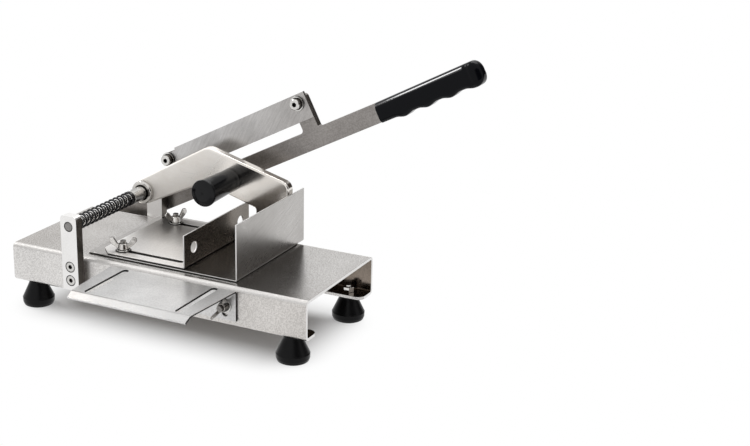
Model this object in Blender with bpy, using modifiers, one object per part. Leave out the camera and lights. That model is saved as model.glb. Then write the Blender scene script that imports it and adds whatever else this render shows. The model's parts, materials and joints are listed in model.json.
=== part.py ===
"""Hand-operated slicer for frozen meat.

A bent steel base stands on four rubber feet. It carries a meat tray with a sliding guide, a sprung pusher
on a rod, an extension plate in front, and behind it a lever that holds the blade.

Lengths are in metres and +Z is up. X runs along the base towards the lever's grip, and Y from the front to
the blade. The origin is the middle of the front left foot's flat sole, on the table.
"""

import math

import bmesh
import bpy
import numpy as np
from mathutils import Matrix, Vector

# Fits and facets
gap = 0.0003
overrun = 0.002
weld_distance = 1e-6
arc_steps = 5
round_sides = 32
small_sides = 20
hex_sides = 6

# Base channel, bent from one sheet
base_length = 0.344
base_depth = 0.144
apron_height = 0.0405
base_sheet = 0.003
base_bend = 0.005
foot_flange_width = 0.024
foot_flange_corner = 0.008

# Rubber feet and their moulded-in studs
foot_height = 0.0273
foot_radius = 0.0167
foot_sole_radius = 0.0135
foot_neck_radius = 0.0092
foot_widest_low = 0.0035
foot_widest_high = 0.009
foot_neck_depth = 0.0015
foot_end_inset = 0.0205
foot_side_inset = 0.0125
foot_stud_radius = 0.003
foot_stud_sink = 0.008
foot_nut_radius = 0.0058
foot_nut_height = 0.005
foot_stud_stand = 0.002

# Slide rod between two upright bars
post_width = 0.0195
post_thickness = 0.010
post_corner = 0.004
post_rise = 0.0112
post_foot_clearance = 0.0065
rod_radius = 0.005
rod_from_left = 0.0808
rod_above_deck = 0.0338
post_screw_head_radius = 0.005
post_screw_head_depth = 0.0027
post_screw_radius = 0.0025
post_screw_rim = 0.0004
post_screw_pitch = 0.0145
post_screw_below_deck = 0.009
post_screw_proud = 0.001
post_screw_key = 0.0024
post_screw_key_depth = 0.0016

# Meat tray: floor and right wall in one sheet
tray_sheet = 0.0015
tray_from_left = 0.0878
tray_width = 0.1742
tray_from_front = 0.0129
tray_past_back = 0.0062
tray_wall_height = 0.0581
tray_bend = 0.0025
tray_post_clearance = 0.0025

# Meat guide, a bent sheet that slides across the tray
guide_sheet = 0.0015
guide_from_left = 0.2015
guide_front_inset = 0.0020
guide_back_clearance = 0.0023
guide_height = 0.0345
guide_foot_width = 0.1039
guide_bend = 0.0025
guide_foot_chamfer = 0.0125
guide_hole_radius = 0.0058
guide_hole_inset = 0.0178
guide_hole_drop = 0.0167
guide_travel = 0.069

# Studs, washers and wing nuts
stud_radius = 0.003
stud_head_radius = 0.0065
stud_head_height = 0.003
stud_past_nut = 0.0030
slot_clearance = 0.0003
washer_radius = 0.0072
washer_thickness = 0.0012
nut_base_radius = 0.0058
nut_top_radius = 0.0046
nut_height = 0.0060
nut_bore_clearance = 0.0002
wing_reach = 0.0145
wing_height = 0.0122
wing_tip_width = 0.0050
wing_root_low = 0.0006
wing_root_high = 0.0048
wing_thickness = 0.0026
wing_corner = 0.0016
wing_out_low = 0.0114
wing_low_rise = 0.0048
wing_crotch = 0.0052
guide_nut_turns = (math.radians(25), math.radians(70))
extension_nut_turns = (math.radians(20), math.radians(55))
guide_stud_from_left = 0.1195
guide_stud_from_front = 0.0156
guide_stud_from_back = 0.0168

# Extension plate in front of the base
extension_sheet = 0.002
extension_from_left = 0.1262
extension_width = 0.1432
extension_side_taper = 0.0055
extension_reach = 0.0745
extension_drop = 0.0020
extension_flange_height = 0.0315
extension_bend = 0.0035
extension_lip_reach = 0.0085
extension_lip_drop = 0.0045
extension_slot_length = 0.0690
extension_slot_radius = 0.0035
extension_slot_from_side = 0.0205
extension_slot_from_base = 0.0042
extension_stud_from_side = 0.0120
extension_stud_below_deck = 0.0190
extension_travel = 0.008

# Pusher: plate with a rim turned back, on a sleeve
pusher_from_back = 0.0190
pusher_sheet = 0.0025
pusher_rim_depth = 0.0090
pusher_rim_thickness = 0.0025
pusher_eye_radius = 0.0136
pusher_apex_along = 0.0803
pusher_apex_rise = 0.0602
pusher_arch_along = 0.0762
pusher_arch_rise = 0.0206
pusher_leg_width = 0.0385
pusher_knee_rise = 0.0024
pusher_shoulder_rise = 0.0335
pusher_wall_clearance = 0.0030
pusher_floor_clearance = 0.0003
pusher_apex_corner = 0.014
pusher_arch_corner = 0.012
pusher_shoulder_corner = 0.009
pusher_heel_corner = 0.008
pusher_knee_corner = 0.003
pusher_pocket_from_rod = 0.019
sleeve_radius = 0.0075
sleeve_length = 0.0438
sleeve_run_clearance = 0.00025
collar_radius = 0.0125
collar_length = 0.0048
handle_length = 0.0535
handle_end_radius = 0.0140
handle_waist_radius = 0.0121
handle_root_radius = 0.0128
handle_waist_share = 0.12
handle_corner = 0.0016
handle_from_rod = 0.1075
handle_above_rod = 0.0282
handle_screw_radius = 0.003
handle_screw_length = 0.020
handle_screw_head_radius = 0.0055
handle_screw_head_height = 0.0032

# Spring and the washer between it and the sleeve
spring_wire_radius = 0.00105
spring_radius = 0.0066
spring_turns = 14
spring_end_turns = 1
spring_end_gap = 0.0006
curl_points = 10
spring_washer_thickness = 0.001

# Lever: flat bar with two uprights
lever_raised = math.radians(27.1)
lever_width = 0.020
lever_thickness = 0.008
lever_bar_length = 0.366
lever_tang_length = 0.070
lever_tang_width = 0.012
lever_fillet = 0.004
lever_behind_tray = 0.0065
pivot_from_left = 0.016
pivot_below_deck = 0.021
pivot_radius = 0.005
pivot_head_radius = 0.0093
pivot_head_height = 0.006
pivot_nut_height = 0.008
pivot_end = 0.002
pivot_washer_radius = 0.0105
pivot_spacer_radius = 0.0085
left_upright_width = 0.0135
right_upright_width = 0.0185
right_upright_past_bolt = 0.0085
upright_height = 0.0472

# Blade, its bolts, washers and shims
blade_length = 0.175
blade_width = 0.028
blade_thickness = 0.003
blade_edge_above_pivot = 0.0212
blade_bevel_width = 0.007
blade_edge_thickness = 0.0004
blade_tang_width = 0.012
blade_tang_end = 0.0078
blade_past_right_bolt = 0.0115
blade_bolt_pitch = 0.1762
blade_right_bolt = 0.2870
blade_bolt_rise = 0.0401
blade_bolt_radius = 0.003
blade_bolt_head_radius = 0.0058
blade_bolt_head_height = 0.0050
blade_bolt_key = 0.0026
blade_bolt_key_depth = 0.003
blade_bolt_corner = 0.0007
blade_bolt_sink = 0.006
blade_washer_radius = 0.0078
blade_washer_thickness = 0.0014
blade_shim_radius = 0.0060
blade_shim_thickness = 0.0018

# Moulded grip on the lever's end
grip_length = 0.118
grip_thickness = 0.020
grip_start_above = 0.0103
grip_end_above = 0.0123
grip_below = 0.0106
grip_finger_depth = 0.0024
grip_finger_pitch = 0.0265
grip_first_finger = 0.026
grip_finger_count = 3
grip_finger_width = 0.0215
grip_stations = 36
grip_least_edge_share = 0.2
grip_end_draw_share = 0.9
grip_edge = 0.0048
grip_end_corner = 0.0075

# Places that follow from the sizes above
base_left = -foot_end_inset
base_right = base_left + base_length
base_front = -foot_side_inset
base_back = base_front + base_depth
deck = foot_height + apron_height
tray_top = deck + gap + tray_sheet
tray_left = base_left + tray_from_left
tray_right = tray_left + tray_width
tray_front = base_front + tray_from_front
tray_back = base_back + tray_past_back
post_top = deck + rod_above_deck + post_rise
post_foot = foot_height + post_foot_clearance
rod_x = base_left + rod_from_left
rod_z = deck + rod_above_deck
guide_right = base_left + guide_from_left
guide_left = guide_right - guide_foot_width
guide_front = tray_front + guide_front_inset
guide_back = base_back - guide_back_clearance
guide_low = tray_top + gap
guide_top = guide_low + guide_height
guide_stud_x = base_left + guide_stud_from_left
guide_stud_ys = (tray_front + guide_stud_from_front, base_back - guide_stud_from_back)
extension_left = base_left + extension_from_left
extension_right = extension_left + extension_width
extension_top = deck - extension_drop
extension_back = base_front - gap
extension_stud_z = deck - extension_stud_below_deck
extension_stud_xs = (extension_left + extension_stud_from_side, extension_right - extension_stud_from_side)
slot_radius = stud_radius + slot_clearance
plate_front = base_back - pusher_from_back
plate_back = plate_front + pusher_rim_depth
sleeve_back = base_back - gap
sleeve_front = sleeve_back - sleeve_length
spring_washer_back = sleeve_front - gap
spring_front = base_front + gap
spring_length = spring_washer_back - spring_washer_thickness - gap - spring_front
handle_x = rod_x + handle_from_rod
handle_z = rod_z + handle_above_rod
lever_front = tray_back + lever_behind_tray
pivot_x = base_left + pivot_from_left
pivot_z = deck - pivot_below_deck
lever_low = -lever_width / 2
lever_high = lever_width / 2


class Group:
    """The object's own collection and the one that holds what cuts it."""

    parts = None
    cutters = None


def clear_scene():
    for old in list(bpy.data.objects):
        bpy.data.objects.remove(old, do_unlink=True)


def new_collection(name):
    collection = bpy.data.collections.new(name)
    bpy.context.scene.collection.children.link(collection)
    return collection


def surface(name, color, roughness, metallic):
    material = bpy.data.materials.new(name)
    material.use_nodes = True
    shader = material.node_tree.nodes["Principled BSDF"]
    shader.inputs["Base Color"].default_value = (*color, 1)
    shader.inputs["Roughness"].default_value = roughness
    shader.inputs["Metallic"].default_value = metallic
    material.diffuse_color = (*color, 1)
    return material


def steel(name):
    return surface(name + "_steel", (0.72, 0.71, 0.69), 0.3, 1)


def dark_steel(name):
    return surface(name + "_dark_steel", (0.16, 0.16, 0.17), 0.35, 1)


def black_plastic(name):
    return surface(name + "_plastic", (0.012, 0.012, 0.015), 0.35, 0)


def black_rubber(name):
    return surface(name + "_rubber", (0.015, 0.015, 0.016), 0.6, 0)


def placed(obj, finish, parent=None):
    """Puts a piece in the object's collection with its own material, and hangs it on its body's empty."""
    Group.parts.objects.link(obj)
    obj.data.materials.clear()
    obj.data.materials.append(finish(obj.name))
    obj.data.shade_smooth()
    obj.data.set_sharp_from_angle(angle=math.radians(30))
    if parent:
        obj.parent = parent
    return obj


def as_cutter(obj):
    Group.cutters.objects.link(obj)
    obj.hide_render = True
    obj.display_type = "WIRE"
    return obj


def cut(obj, cutter, operation="DIFFERENCE"):
    modifier = obj.modifiers.new(cutter.name, "BOOLEAN")
    modifier.operation = operation
    modifier.solver = "EXACT"
    modifier.object = cutter
    return obj


def rounded(corners):
    """The outline through corners given as (x, y, radius), with each radius made an arc."""
    outline = []
    for index, (x, y, radius) in enumerate(corners):
        corner = Vector((x, y))
        if not radius:
            outline.append(corner)
            continue
        before = (Vector(corners[index - 1][:2]) - corner).normalized()
        after = (Vector(corners[(index + 1) % len(corners)][:2]) - corner).normalized()
        half = before.angle(after) / 2
        centre = corner + (before + after).normalized() * radius / math.sin(half)
        start = corner + before * radius / math.tan(half) - centre
        end = corner + after * radius / math.tan(half) - centre
        turn = math.atan2(start.cross(end), start.dot(end))
        turns = [turn * step / arc_steps for step in range(arc_steps + 1)]
        outline += [centre + Matrix.Rotation(part_turn, 2) @ start for part_turn in turns]
    return outline


def arc(x, y, radius, first, last, steps):
    """Points of an arc about (x, y) between two angles in radians."""
    angles = [first + (last - first) * step / steps for step in range(steps + 1)]
    return [Vector((x + radius * math.cos(angle), y + radius * math.sin(angle))) for angle in angles]


def circle(x, y, radius, sides=small_sides):
    return arc(x, y, radius, 0, math.tau * (sides - 1) / sides, sides - 1)


def slot(start, end, radius):
    """A round-ended slot between two centres."""
    heading = math.atan2(end[1] - start[1], end[0] - start[0])
    quarter = math.pi / 2
    steps = arc_steps * 2
    return arc(*end, radius, heading - quarter, heading + quarter, steps) + arc(
        *start, radius, heading + quarter, heading + 3 * quarter, steps
    )


PLANES = {
    "XY": Matrix.Identity(4),
    "XZ": Matrix(((1, 0, 0, 0), (0, 0, -1, 0), (0, 1, 0, 0), (0, 0, 0, 1))),
    "YZ": Matrix(((0, 0, 1, 0), (1, 0, 0, 0), (0, 1, 0, 0), (0, 0, 0, 1))),
}
NORMALS = {"XY": Vector((0, 0, 1)), "XZ": Vector((0, 1, 0)), "YZ": Vector((1, 0, 0))}


def extruded(name, loops, low, high, plane, origin=(0, 0, 0)):
    """A flat outline with holes, in a plane, given thickness from low to high along the plane's normal."""
    curve = bpy.data.curves.new(name, "CURVE")
    curve.dimensions = "2D"
    curve.fill_mode = "BOTH"
    curve.extrude = (high - low) / 2
    for loop in loops:
        spline = curve.splines.new("POLY")
        spline.points.add(len(loop) - 1)
        for point, (x, y) in zip(spline.points, loop):
            point.co = (x, y, 0, 1)
        spline.use_cyclic_u = True
    outline = bpy.data.objects.new(name + "_outline", curve)
    bpy.context.scene.collection.objects.link(outline)
    place = Matrix.Translation(NORMALS[plane] * (low + high) / 2 - Vector(origin)) @ PLANES[plane]
    obj = bpy.data.objects.new(name, solid_mesh(outline, place))
    obj.location = origin
    return obj


def solid_mesh(source, place):
    """The evaluated mesh of a curve, moved by a matrix, with its caps welded. The curve is removed."""
    evaluated = source.evaluated_get(bpy.context.evaluated_depsgraph_get())
    mesh = bpy.data.meshes.new_from_object(evaluated)
    form = bmesh.new()
    form.from_mesh(mesh)
    bmesh.ops.remove_doubles(form, verts=form.verts, dist=weld_distance)
    bmesh.ops.transform(form, matrix=place, verts=form.verts)
    bmesh.ops.recalc_face_normals(form, faces=form.faces)
    form.to_mesh(mesh)
    form.free()
    bpy.data.objects.remove(source, do_unlink=True)
    return mesh


def turned(name, profile, sides=small_sides, closed=False):
    """A profile of (radius, height) points, listed from the top down its outer side, spun about Z."""
    mesh = bpy.data.meshes.new(name)
    form = bmesh.new()
    points = [form.verts.new((radius, 0, height)) for radius, height in profile]
    for first, second in zip(points, points[1:]):
        form.edges.new((first, second))
    if closed:
        form.edges.new((points[-1], points[0]))
    form.to_mesh(mesh)
    form.free()
    obj = bpy.data.objects.new(name, mesh)
    screw = obj.modifiers.new("turn", "SCREW")
    screw.axis = "Z"
    screw.angle = math.tau
    screw.steps = sides
    screw.render_steps = sides
    screw.use_merge_vertices = True
    screw.merge_threshold = weld_distance
    screw.use_smooth_shade = True
    return obj


def rod(name, radius, low, high, sides=small_sides):
    return turned(name, [(0, high), (radius, high), (radius, low), (0, low)], sides)


def ring(name, radius, bore, low, high, sides=small_sides):
    return turned(name, [(bore, high), (radius, high), (radius, low), (bore, low)], sides, closed=True)


def facing(obj, location, axis):
    """Places a turned piece with its top towards +Z, -Z, -Y or +Y."""
    turns = {"+Z": (0, 0, 0), "-Z": (math.pi, 0, 0), "-Y": (math.pi / 2, 0, 0), "+Y": (-math.pi / 2, 0, 0)}
    obj.location = location
    obj.rotation_euler = turns[axis]
    return obj


def joint_point(name, location, turn=0):
    """An empty on a joint's axis, turned about Y."""
    empty = bpy.data.objects.new(name, None)
    empty.empty_display_size = post_width
    empty.location = location
    empty.rotation_euler = (0, turn, 0)
    Group.parts.objects.link(empty)
    return empty


# Base


def base_profile():
    """The channel's section in Y and Z: its top, two aprons and two inward flanges."""
    low = foot_height
    inner = base_bend - base_sheet
    flange_end = foot_flange_width
    outside = [
        (base_front + flange_end, low, 0),
        (base_front, low, base_bend),
        (base_front, deck, base_bend),
        (base_back, deck, base_bend),
        (base_back, low, base_bend),
        (base_back - flange_end, low, 0),
    ]
    inside = [
        (base_back - flange_end, low + base_sheet, 0),
        (base_back - base_sheet, low + base_sheet, inner),
        (base_back - base_sheet, deck - base_sheet, inner),
        (base_front + base_sheet, deck - base_sheet, inner),
        (base_front + base_sheet, low + base_sheet, inner),
        (base_front + flange_end, low + base_sheet, 0),
    ]
    return rounded((outside + inside)[::-1])


def foot_places():
    """Each foot's name and place."""
    xs = {"left": 0, "right": base_length - 2 * foot_end_inset}
    ys = {"front": 0, "back": base_depth - 2 * foot_side_inset}
    return {f"{row}_{side}": (x, y) for row, y in ys.items() for side, x in xs.items()}


def flange_corner_cutter():
    """Rounds the free corners of the lower flanges at the base's two ends."""
    loops = []
    ends = ((base_left, 1), (base_right, -1))
    edges = ((base_front + foot_flange_width, -1), (base_back - foot_flange_width, 1))
    for x, inward in ends:
        for y, outward in edges:
            middle = (x + inward * foot_flange_corner, y + outward * foot_flange_corner)
            first = math.atan2(-outward, 0)
            last = first - math.copysign(math.pi / 2, inward * outward)
            curve = arc(*middle, foot_flange_corner, first, last, arc_steps)
            beyond = [
                Vector((x - inward * overrun, curve[-1].y)),
                Vector((x - inward * overrun, y - outward * overrun)),
                Vector((curve[0].x, y - outward * overrun)),
            ]
            loops.append(curve + beyond)
    low = foot_height - overrun
    return as_cutter(extruded("flange_corners", loops, low, foot_height + base_sheet + overrun, "XY"))


def base_holes():
    """Cutters for the studs, screws and the pivot bolt that pass through the base."""
    feet = [circle(x, y, foot_stud_radius + gap) for x, y in foot_places().values()]
    low = foot_height - overrun
    yield as_cutter(extruded("foot_holes", feet, low, foot_height + base_sheet + overrun, "XY"))
    studs = [circle(guide_stud_x, y, stud_radius + gap) for y in guide_stud_ys]
    yield as_cutter(extruded("guide_stud_holes", studs, deck - base_sheet - overrun, deck + overrun, "XY"))
    screws = [circle(rod_x, z, post_screw_radius + gap) for z in post_screw_heights()]
    nuts = [circle(x, extension_stud_z, stud_radius + gap) for x in extension_stud_xs]
    front_low = base_front - overrun
    front_high = base_front + base_sheet + overrun
    yield as_cutter(extruded("front_apron_holes", screws + nuts, front_low, front_high, "XZ"))
    pivot = [circle(pivot_x, pivot_z, pivot_radius + gap)]
    back_low = base_back - base_sheet - overrun
    yield as_cutter(extruded("back_apron_holes", screws + pivot, back_low, base_back + overrun, "XZ"))


def make_base():
    base = placed(extruded("base_channel", [base_profile()], base_left, base_right, "YZ"), steel)
    cut(base, flange_corner_cutter())
    for cutter in base_holes():
        cut(base, cutter)


def make_feet():
    top = foot_height - gap
    profile = [
        (foot_stud_radius + gap, top),
        (foot_neck_radius, top),
        (foot_neck_radius, top - foot_neck_depth),
        (foot_radius, foot_widest_high),
        (foot_radius, foot_widest_low),
        (foot_radius - foot_widest_low / 3, foot_widest_low / 3),
        (foot_sole_radius, 0),
        (0, 0),
        (0, top - foot_stud_sink - gap),
        (foot_stud_radius + gap, top - foot_stud_sink - gap),
    ]
    nut_low = foot_height + base_sheet + gap
    for name, (x, y) in foot_places().items():
        foot = turned("foot_" + name, profile, round_sides, closed=True)
        placed(facing(foot, (x, y, 0), "+Z"), black_rubber)
        nut = rod("foot_nut_" + name, foot_nut_radius, nut_low, nut_low + foot_nut_height, hex_sides)
        placed(facing(nut, (x, y, 0), "+Z"), steel)
        stud_top = nut_low + foot_nut_height + foot_stud_stand
        stud = rod("foot_stud_" + name, foot_stud_radius, top - foot_stud_sink, stud_top)
        cut(nut, as_cutter(facing(stud, (x, y, 0), "+Z")), "UNION")


def post_screw_heights():
    first = deck - post_screw_below_deck
    return (first, first - post_screw_pitch)


def screw_profile(extra):
    """Countersunk screw from its flat head down, in heights below the face that it is flush with."""
    head = post_screw_head_radius + extra
    shank = post_screw_radius + extra
    reach = post_thickness + gap + base_sheet + post_screw_proud
    return [
        (0, extra and overrun),
        (head, extra and overrun),
        (head, -post_screw_rim - extra),
        (shank, -post_screw_head_depth - extra),
        (shank, -reach - extra),
        (0, -reach - extra),
    ]


def make_post(name, low, outward):
    """One upright bar, flat on the apron, with its two screws."""
    outline = rounded(
        [
            (rod_x - post_width / 2, post_foot, 0),
            (rod_x + post_width / 2, post_foot, 0),
            (rod_x + post_width / 2, post_top, post_corner),
            (rod_x - post_width / 2, post_top, post_corner),
        ]
    )
    bore = circle(rod_x, rod_z, rod_radius + gap, round_sides)
    post = placed(extruded(name, [outline, bore], low, low + post_thickness, "XZ"), steel)
    face = low if outward == "-Y" else low + post_thickness
    for place, z in zip(("upper", "lower"), post_screw_heights()):
        at = (rod_x, face, z)
        cut(post, as_cutter(facing(turned(f"{name}_{place}_sink", screw_profile(gap)), at, outward)))
        screw = placed(facing(turned(f"{name}_screw_{place}", screw_profile(0)), at, outward), dark_steel)
        key = rod(f"{name}_{place}_key", post_screw_key, -post_screw_key_depth, overrun, hex_sides)
        cut(screw, as_cutter(facing(key, at, outward)))


def make_posts_and_rod():
    make_post("front_post", base_front - gap - post_thickness, "-Y")
    make_post("back_post", base_back + gap, "+Y")
    first = base_front - gap - post_thickness
    last = base_back + gap + post_thickness
    shaft = rod("slide_rod", rod_radius, -last, -first, round_sides)
    placed(facing(shaft, (rod_x, 0, rod_z), "-Y"), steel)


def make_tray():
    """Floor and right wall, with the floor's back left corner cut away beside the back post."""
    inner = tray_bend - tray_sheet
    low = deck + gap
    section = rounded(
        [
            (tray_left, low, 0),
            (tray_right, low, tray_bend),
            (tray_right, deck + tray_wall_height, 0),
            (tray_right - tray_sheet, deck + tray_wall_height, 0),
            (tray_right - tray_sheet, tray_top, inner),
            (tray_left, tray_top, 0),
        ]
    )
    tray = placed(extruded("meat_tray", [section], tray_front, tray_back, "XZ"), steel)
    studs = [circle(guide_stud_x, y, stud_radius + gap) for y in guide_stud_ys]
    cut(tray, as_cutter(extruded("tray_stud_holes", studs, deck - overrun, tray_top + overrun, "XY")))
    notch_right = rod_x + post_width / 2 + tray_post_clearance
    notch_front = base_back - tray_post_clearance
    notch = [
        Vector((tray_left - overrun, notch_front)),
        Vector((notch_right, notch_front)),
        Vector((notch_right, tray_back + overrun)),
        Vector((tray_left - overrun, tray_back + overrun)),
    ]
    cut(tray, as_cutter(extruded("tray_notch", [notch], deck - overrun, tray_top + overrun, "XY")))


def make_stud(name, place, axis, through):
    """A bolt with its flat head inside the base, standing out through everything that it clamps."""
    head_top = -gap
    profile = [
        (0, through),
        (stud_radius, through),
        (stud_radius, head_top),
        (stud_head_radius, head_top),
        (stud_head_radius, head_top - stud_head_height),
        (0, head_top - stud_head_height),
    ]
    return placed(facing(turned(name, profile), place, axis), steel)


# Wing nuts


def wing_outline():
    """Both wings of a wing nut in one outline, low in the middle and high at the tips."""
    right = [
        (0, wing_root_low, 0),
        (nut_base_radius, wing_root_low, wing_corner),
        (wing_out_low, wing_low_rise, wing_corner),
        (wing_reach, wing_height - wing_tip_width, wing_corner),
        (wing_reach - wing_corner, wing_height, wing_corner),
        (wing_reach - wing_tip_width, wing_height, wing_corner),
        (wing_crotch, wing_root_high, wing_corner),
    ]
    left = [(-x, z, radius) for x, z, radius in right[1:]]
    return rounded(right + left[::-1])


def wing_nut(name, place, axis, turn):
    """A wing nut standing at a place with its wings towards an axis, turned as it was left on its stud."""
    hub_profile = [(0, nut_height), (nut_top_radius, nut_height), (nut_base_radius, 0), (0, 0)]
    nut = turned(name, hub_profile)
    wings = extruded(name + "_wings", [wing_outline()], -wing_thickness / 2, wing_thickness / 2, "XZ")
    wings.data.transform(Matrix.Rotation(turn, 4, "Z"))
    bore = rod(name + "_bore", stud_radius + nut_bore_clearance, -overrun, nut_height + overrun)
    for cutter, operation in ((wings, "UNION"), (bore, "DIFFERENCE")):
        facing(cutter, place, axis)
        cut(nut, as_cutter(cutter), operation)
    facing(nut, place, axis)
    placed(nut, steel)
    return nut


def washer(name, place, axis, radius=washer_radius, thickness=washer_thickness, bore=stud_radius + gap):
    return placed(facing(ring(name, radius, bore, 0, thickness), place, axis), steel)


# Guide


def make_guide():
    inner = guide_bend - guide_sheet
    corners = [
        (guide_left, guide_low, 0),
        (guide_right, guide_low, guide_bend),
        (guide_right, guide_top, 0),
        (guide_right - guide_sheet, guide_top, 0),
        (guide_right - guide_sheet, guide_low + guide_sheet, inner),
        (guide_left, guide_low + guide_sheet, 0),
    ]
    guide = placed(extruded("meat_guide", [rounded(corners)], guide_front, guide_back, "XZ"), steel)
    low = guide_low - overrun
    high = guide_low + guide_sheet + overrun
    slots = [slot((guide_stud_x, y), (guide_stud_x + guide_travel, y), slot_radius) for y in guide_stud_ys]
    cut(guide, as_cutter(extruded("guide_slots", slots, low, high, "XY")))
    chamfer = [
        Vector((guide_left - overrun, guide_front - overrun)),
        Vector((guide_left + guide_foot_chamfer + overrun, guide_front - overrun)),
        Vector((guide_left - overrun, guide_front + guide_foot_chamfer + overrun)),
    ]
    cut(guide, as_cutter(extruded("guide_chamfer", [chamfer], low, high, "XY")))
    hole_z = guide_top - guide_hole_drop
    places = (guide_front + guide_hole_inset, guide_back - guide_hole_inset)
    holes = [circle(y, hole_z, guide_hole_radius) for y in places]
    hole_left = guide_right - guide_sheet - overrun
    cut(guide, as_cutter(extruded("guide_holes", holes, hole_left, guide_right + overrun, "YZ")))
    nut_low = guide_low + guide_sheet + gap
    through = tray_top + gap + guide_sheet + gap + washer_thickness + gap + nut_height + stud_past_nut
    for side, y, turn in zip(("front", "back"), guide_stud_ys, guide_nut_turns):
        head_top = deck - base_sheet
        make_stud("guide_stud_" + side, (guide_stud_x, y, head_top), "+Z", through - head_top)
        washer("guide_washer_" + side, (guide_stud_x, y, nut_low), "+Z")
        nut_place = (guide_stud_x, y, nut_low + washer_thickness + gap)
        wing_nut("guide_wing_nut_" + side, nut_place, "+Z", turn)


# Extension plate


def extension_section():
    """The plate's section in Y and Z: flange on the apron, shelf and sloping lip."""
    sheet = extension_sheet
    top = extension_top
    edge = extension_back - extension_reach
    slope = math.atan2(extension_lip_drop, extension_lip_reach)
    inner = extension_bend - sheet
    shift = sheet * math.tan(slope / 2)
    tip = Vector((edge - extension_lip_reach, top - extension_lip_drop))
    under = Vector((math.sin(slope), -math.cos(slope))) * sheet
    return rounded(
        [
            (extension_back, top - extension_flange_height, 0),
            (extension_back, top, extension_bend),
            (edge, top, 0),
            (tip.x, tip.y, 0),
            (tip.x + under.x, tip.y + under.y, 0),
            (edge + shift, top - sheet, 0),
            (extension_back - sheet, top - sheet, inner),
            (extension_back - sheet, top - extension_flange_height, 0),
        ]
    )


def extension_taper_cutter():
    """Two wedges that draw the shelf's sides in towards its lip."""
    near = extension_back - extension_bend
    far = extension_back - extension_reach - extension_lip_reach - overrun
    loops = []
    for side, outward in ((extension_left, -1), (extension_right, 1)):
        beyond = side + outward * overrun
        drawn = side - outward * extension_side_taper
        loops.append([Vector((side, near)), Vector((beyond, near)), Vector((beyond, far)), Vector((drawn, far))])
    low = extension_top - extension_lip_drop - 2 * extension_sheet
    return as_cutter(extruded("extension_tapers", loops, low, extension_top + overrun, "XY"))


def make_extension():
    section = [extension_section()]
    plate = placed(extruded("extension_plate", section, extension_left, extension_right, "YZ"), steel)
    cut(plate, extension_taper_cutter())
    near = extension_back - extension_slot_from_base - extension_slot_radius
    far = near - extension_slot_length + 2 * extension_slot_radius
    sides = (extension_left + extension_slot_from_side, extension_right - extension_slot_from_side)
    slots = [slot((x, near), (x, far), extension_slot_radius) for x in sides]
    shelf_low = extension_top - extension_sheet - overrun
    cut(plate, as_cutter(extruded("extension_shelf_slots", slots, shelf_low, extension_top + overrun, "XY")))
    slot_foot = extension_stud_z - extension_travel
    slots = [slot((x, slot_foot), (x, extension_stud_z), slot_radius) for x in extension_stud_xs]
    flange_front = extension_back - extension_sheet
    flange_low = flange_front - overrun
    cut(plate, as_cutter(extruded("extension_flange_slots", slots, flange_low, base_front, "XZ")))
    nut_back = flange_front - gap
    head_face = base_front + base_sheet
    through = head_face - nut_back + washer_thickness + gap + nut_height + stud_past_nut
    for side, x, turn in zip(("left", "right"), extension_stud_xs, extension_nut_turns):
        make_stud("extension_stud_" + side, (x, head_face, extension_stud_z), "-Y", through)
        washer("extension_washer_" + side, (x, nut_back, extension_stud_z), "-Y")
        nut_place = (x, nut_back - washer_thickness - gap, extension_stud_z)
        wing_nut("extension_wing_nut_" + side, nut_place, "-Y", turn)


# Pusher


def tangent_heading(along, rise, side):
    """The heading of the line that leaves the pusher's eye on one side and meets a point."""
    lean = math.asin(pusher_eye_radius / math.hypot(along, rise))
    return math.atan2(rise, along) - side * lean


def pusher_corners():
    """The plate's corners in X and Z after its eye: arch, knee, leg, shoulder and apex."""
    right = tray_right - tray_sheet - pusher_wall_clearance
    knee = right - pusher_leg_width
    floor = tray_top + pusher_floor_clearance
    return [
        (rod_x + pusher_arch_along, rod_z + pusher_arch_rise, pusher_arch_corner),
        (knee, rod_z + pusher_knee_rise, pusher_knee_corner),
        (knee, floor, pusher_knee_corner),
        (right, floor, pusher_heel_corner),
        (right, rod_z + pusher_shoulder_rise, pusher_shoulder_corner),
        (rod_x + pusher_apex_along, rod_z + pusher_apex_rise, pusher_apex_corner),
    ]


def pusher_outline():
    top = tangent_heading(pusher_apex_along, pusher_apex_rise, 1) + math.pi / 2
    bottom = tangent_heading(pusher_arch_along, pusher_arch_rise, -1) - math.pi / 2 + math.tau
    eye = arc(rod_x, rod_z, pusher_eye_radius, top, bottom, small_sides)
    return rounded([(point.x, point.y, 0) for point in eye] + pusher_corners())


def inset(corners, distance):
    """The same corners, walked anticlockwise, drawn in by a distance, with their radii kept concentric."""
    drawn = []
    for index, (x, y, radius) in enumerate(corners):
        corner = Vector((x, y))
        before = (corner - Vector(corners[index - 1][:2])).normalized()
        after = (Vector(corners[(index + 1) % len(corners)][:2]) - corner).normalized()
        inward = (Vector((-before.y, before.x)) + Vector((-after.y, after.x))).normalized()
        turn = math.atan2(before.cross(after), before.dot(after))
        moved = corner + inward * distance / math.cos(turn / 2)
        drawn.append((moved.x, moved.y, max(radius - math.copysign(distance, turn), 0)))
    return drawn


def pocket_outline():
    """The hollow behind the plate, inside its rim and clear of its eye."""
    corners = pusher_corners()
    start = rod_x + pusher_pocket_from_rod
    top = tangent_heading(pusher_apex_along, pusher_apex_rise, 1)
    bottom = tangent_heading(pusher_arch_along, pusher_arch_rise, -1)
    apex = corners[-1]
    arch = corners[0]
    upper = (start, apex[1] - (apex[0] - start) * math.tan(top), 0)
    lower = (start, arch[1] - (arch[0] - start) * math.tan(bottom), 0)
    return rounded(inset([upper, lower] + corners, pusher_rim_thickness))


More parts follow.
